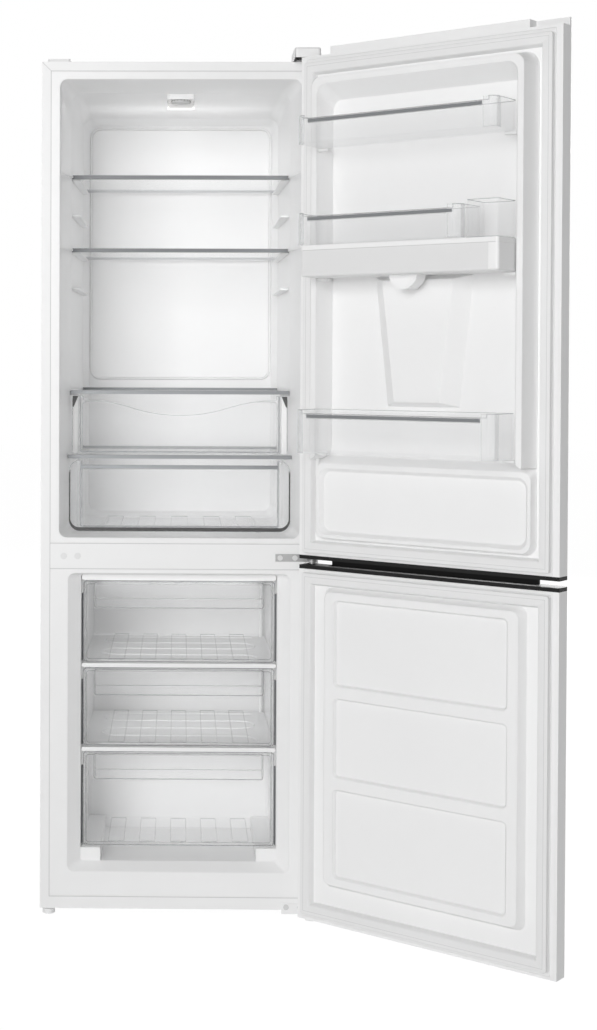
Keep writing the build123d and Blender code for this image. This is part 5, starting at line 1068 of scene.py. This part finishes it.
@dataclass
class DoorBin:
    """Metallic strip and faceted ends of one door bin."""

    body: str
    name: str
    floor: float
    height: float
    left: float = -225.0
    right: float = 225.0
    strip: tuple[float, float] = (-197.0, 197.0)
    face: float = -155.5
    rail: float = -154.5
    rail_drop: float = 13.0
    rail_height: float = 8.0
    strip_depth: float = 0.8
    strip_low: float = 0.8
    strip_high: float = 0.6
    end_width: float = 26.0
    far_width: float = 18.0
    end_low: float = 1.0
    end_high: float = 0.5

    def build(self) -> None:
        """Makes the strip and the faceted ends."""
        swing = door_swing("upper_door_hinge")
        top = self.floor + self.height
        high = top - self.rail_drop + self.rail_height / 2
        strip = Form(self.name + "_strip")
        strip.block(self.strip[0], self.strip[1], self.face, self.rail + self.strip_depth,
                    high - self.rail_height + self.strip_low, high - self.strip_high)
        strip.done(self.body, STRIP_METAL, edge=0.5, swing=swing)
        ends = Form(self.name + "_ends")
        for outer, sign, width in ((self.left, 1.0, self.end_width), (self.right, -1.0, self.far_width)):
            outline = [(outer + sign * inwards, self.face + up) for inwards, up in self._end(width)]
            ends.prism(outline, Run.ALONG_Z, self.floor + self.end_low, top - self.end_high)
        ends.done(self.body, FACET_PLASTIC, edge=0.6, swing=swing)

    def _end(self, width: float) -> Outline:
        """Outline of an end in plan.

        Args:
            width: its width.

        Returns:
            The points, inwards from the bin's side and out from its face.
        """
        return [(0.0, -22.0), (0.0, -8.8), (11.8, 0.8), (width - 3.0, 0.8), (width, 0.2),
                (width, -2.0), (12.4, -1.4), (2.4, -9.6), (2.4, -22.0)]


@dataclass
class WaterTank:
    """End piece of the water tank, and a grey strip of painted shade in the seam under its lid."""

    left: float = -225.0
    right: float = 225.0
    front: float = -170.5
    rear: float = -248.5
    low: float = 1378.0
    seam: float = 1432.0
    end: float = 25.0
    skin: float = 0.5
    end_inset: float = 4.0
    end_radius: float = 6.0
    end_rise: float = 3.0
    end_drop: float = 0.3
    seam_inset: float = 6.0
    seam_depth: float = 1.0
    seam_proud: float = 0.25
    seam_half: float = 0.6

    def build(self) -> None:
        """Makes the end piece and the painted seam shade."""
        swing = door_swing("upper_door_hinge")
        cap = Form("tank_end")
        cap.prism(rounded(self.left - self.skin, self.left + self.end, self.rear + self.end_inset,
                          self.front + self.skin, self.end_radius, 5),
                  Run.ALONG_Z, self.low + self.end_rise, self.seam - self.end_drop)
        cap.done("tank", WHITE_PLASTIC, edge=0.8, swing=swing)
        # painted shade: thin grey strip where the lid meets the tank
        seam = Form("tank_lid_seam_shade")
        seam.block(self.left + self.seam_inset, self.right - self.seam_inset,
                   self.front - self.seam_depth, self.front + self.seam_proud,
                   self.seam - self.seam_half, self.seam + self.seam_half)
        seam.done("tank", SEAM_SHADE_GREY, edge=0.0, swing=swing)


# ---------------------------------------------------------------- studio

@dataclass(frozen=True)
class Lamp:
    """Soft area lamp that the camera doesn't see.

    Attributes: its name, place, aim, width, power, height (0 for a square lamp) and the angle
    that it shines into, in degrees.
    """

    name: str
    place: Point
    aim: Point
    width: float
    watts: float
    height: float = 0.0
    spread_deg: float = 180.0

    def build(self) -> None:
        """Makes the lamp."""
        data = bpy.data.lights.new(self.name, "AREA")
        data.shape = "RECTANGLE"
        data.size = self.width
        data.size_y = self.height or self.width
        data.spread = math.radians(self.spread_deg)
        data.energy = self.watts
        lamp = bpy.data.objects.new(self.name, data)
        lamp.location = self.place
        direction = Vector(self.aim) - Vector(self.place)
        lamp.rotation_euler = direction.to_track_quat("-Z", "Y").to_euler()
        lamp.visible_camera = False
        bpy.context.scene.collection.objects.link(lamp)


TRAY_AIM = 0.12         # depth of the point that the tray lamps face, in metres


def tray_lamp(name: str, y: float, z: float, drop: float) -> Lamp:
    """Thin lamp across a tray or drawer, that shines to the rear and down.

    Args:
        name: its name.
        y: its depth.
        z: its height.
        drop: how much lower the point is that it faces.

    Returns:
        The lamp.
    """
    return Lamp(name, (0.0, y, z), (0.0, TRAY_AIM, z - drop), width=0.34, watts=0.05, height=0.02,
                spread_deg=130.0)


LAMPS = (
    Lamp("key", (-1.9, -5.7, 2.0), (0.0, 0.0, 1.0), 2.6, 175.0),
    Lamp("rear", (2.6, 4.9, 2.4), (0.0, 0.0, 0.9), 2.6, 170.0),
    Lamp("fridge_fill", (-0.06, -0.235, 1.765), (-0.08, 0.2, 1.16), 0.40, 0.03, 0.03, 100.0),
    Lamp("ceiling_fill", (0.0, 0.04, 1.70), (0.0, 0.07, 1.83), 0.36, 0.05, 0.03, 140.0),
    Lamp("side_fill", (0.238, -0.25, 1.47), (-0.24, 0.13, 1.46), 0.03, 0.15, 0.5, 110.0),
    tray_lamp("chill_fill", -0.14, 1.12, 0.08),
    tray_lamp("crisper_fill", -0.17, 0.968, 0.1),
    tray_lamp("sill_fill", -0.262, 0.985, 0.6),
    tray_lamp("top_drawer_fill", -0.19, 0.70, 0.1),
    tray_lamp("middle_drawer_fill", -0.19, 0.515, 0.1),
    tray_lamp("middle_rear_fill", -0.1, 0.515, 0.1),
    tray_lamp("bottom_drawer_fill", -0.19, 0.33, 0.12),
    tray_lamp("freezer_fill", -0.255, 0.72, 0.3),
)


@dataclass
class Studio:
    """White floor and a world that is white to the camera."""

    floor_size: float = 40.0
    floor_grey: float = 0.9
    floor_roughness: float = 0.8
    floor_white: float = 1.07
    shadow_share: float = 0.1
    ambient: float = 0.27

    def build(self) -> None:
        """Makes the world, the floor and the lamps."""
        self._world()
        self._floor()
        for lamp in LAMPS:
            lamp.build()

    def _seen(self, tree: bpy.types.NodeTree) -> bpy.types.NodeSocket:
        """Value of 1 for rays from the camera, off gloss or through glass.

        Args:
            tree: the node tree to add to.

        Returns:
            The socket with the value.
        """
        path = tree.nodes.new("ShaderNodeLightPath")
        seen = path.outputs["Is Camera Ray"]
        for kind in ("Is Glossy Ray", "Is Transmission Ray"):
            either = tree.nodes.new("ShaderNodeMath")
            either.operation = "MAXIMUM"
            tree.links.new(seen, either.inputs[0])
            tree.links.new(path.outputs[kind], either.inputs[1])
            seen = either.outputs[0]
        return seen

    def _world(self) -> None:
        """World that lights softly and looks white."""
        world = bpy.data.worlds.new("studio")
        bpy.context.scene.world = world
        world.use_nodes = True
        tree = world.node_tree
        plain = tree.nodes["Background"]
        plain.inputs["Color"].default_value = (1.0, 1.0, 1.0, 1.0)
        plain.inputs["Strength"].default_value = self.ambient
        white = tree.nodes.new("ShaderNodeBackground")
        white.inputs["Color"].default_value = (1.0, 1.0, 1.0, 1.0)
        white.inputs["Strength"].default_value = 1.0
        mix = tree.nodes.new("ShaderNodeMixShader")
        for source, socket in zip((self._seen(tree), plain.outputs[0], white.outputs[0]), mix.inputs):
            tree.links.new(source, socket)
        tree.links.new(mix.outputs[0], tree.nodes["World Output"].inputs["Surface"])

    def _floor(self) -> None:
        """Pale floor that keeps a faint shadow of the object."""
        half = self.floor_size / 2
        mesh = bpy.data.meshes.new("floor")
        corners = [(-half, -half, 0), (half, -half, 0), (half, half, 0), (-half, half, 0)]
        mesh.from_pydata(corners, [], [(0, 1, 2, 3)])
        floor = bpy.data.objects.new("floor", mesh)
        bpy.context.scene.collection.objects.link(floor)
        material = bpy.data.materials.new("pale_floor")
        material.use_nodes = True
        tree = material.node_tree
        paint = tree.nodes["Principled BSDF"]
        paint.inputs["Base Color"].default_value = (*[self.floor_grey] * 3, 1.0)
        paint.inputs["Roughness"].default_value = self.floor_roughness
        white = tree.nodes.new("ShaderNodeEmission")
        white.inputs["Strength"].default_value = self.floor_white
        share = tree.nodes.new("ShaderNodeMath")
        share.operation = "MULTIPLY"
        share.inputs[1].default_value = 1.0 - self.shadow_share
        tree.links.new(self._seen(tree), share.inputs[0])
        mix = tree.nodes.new("ShaderNodeMixShader")
        for source, socket in zip((share.outputs[0], paint.outputs[0], white.outputs[0]), mix.inputs):
            tree.links.new(source, socket)
        tree.links.new(mix.outputs[0], tree.nodes["Material Output"].inputs["Surface"])
        mesh.materials.append(material)


@dataclass
class PhotoCamera:
    """Camera solved from the photograph, which is 597 by 1030 pixels."""

    width_px: float = 597.0
    height_px: float = 1030.0
    focal_px: float = 1710.323
    centre_px: tuple[float, float] = (154.161, 390.915)
    place: Point = (0.001318, -3.962626, 1.199425)
    pitch_deg: float = -0.911
    yaw_deg: float = 0.88
    roll_deg: float = 0.212
    sensor_mm: float = 36.0
    reach: float = 100.0

    def build(self) -> None:
        """Makes the camera and sets it as the scene's."""
        data = bpy.data.cameras.new("photo_camera")
        data.sensor_width = self.sensor_mm
        data.lens = self.focal_px * self.sensor_mm / self.height_px
        data.shift_x = (self.width_px / 2 - self.centre_px[0]) / self.height_px
        data.shift_y = (self.centre_px[1] - self.height_px / 2) / self.height_px
        data.clip_end = self.reach
        camera = bpy.data.objects.new("photo_camera", data)
        turn = (
            Matrix.Rotation(math.radians(self.yaw_deg), 4, "Z")
            @ Matrix.Rotation(math.radians(self.pitch_deg), 4, "X")
            @ Matrix.Rotation(math.radians(-self.roll_deg), 4, "Y")
            @ Matrix.Rotation(math.radians(90.0), 4, "X")
        )
        camera.matrix_world = Matrix.Translation(self.place) @ turn
        bpy.context.scene.collection.objects.link(camera)
        bpy.context.scene.camera = camera


PIECES = (
    CaseFront(),
    ShelfGuides(),
    BackWallBead(),
    LensRim(),
    ThermostatScale(),
    ChillTrayFront(),
    CrisperFront(),
    DrawerFront("freezer_top", "freezer_drawer_top"),
    DrawerFront("freezer_middle", "freezer_drawer_middle"),
    DrawerFront("freezer_bottom", "freezer_drawer_bottom"),
    DrawerGapShades(),
    DoorSeal("upper_door", "upper_door_hinge", "upper_door_gasket", 800.0, 1836.0),
    DoorSeal("lower_door", "lower_door_hinge", "lower_door_gasket", 31.0, 759.0),
    DoorBin("bin_top", "top_bin", 1647.0, 59.0),
    DoorBin("bin_middle", "middle_bin", 1442.3, 65.0, left=-150.0, strip=(-135.0, 197.0)),
    DoorBin("bin_bottom", "bottom_bin", 1017.0, 90.0),
    WaterTank(),
)


def main() -> None:
    """Builds the studio and dresses the frame."""
    logging.basicConfig(level=logging.INFO, format="%(message)s")
    bpy.context.scene.view_settings.view_transform = "Standard"
    bpy.context.scene.cycles.transparent_max_bounces = CLEAR_LAYERS
    bpy.context.scene.cycles.diffuse_bounces = WHITE_BOUNCES
    dress_frame()
    for piece in PIECES:
        piece.build()
    Studio().build()
    PhotoCamera().build()


if __name__ == "__main__":
    main()
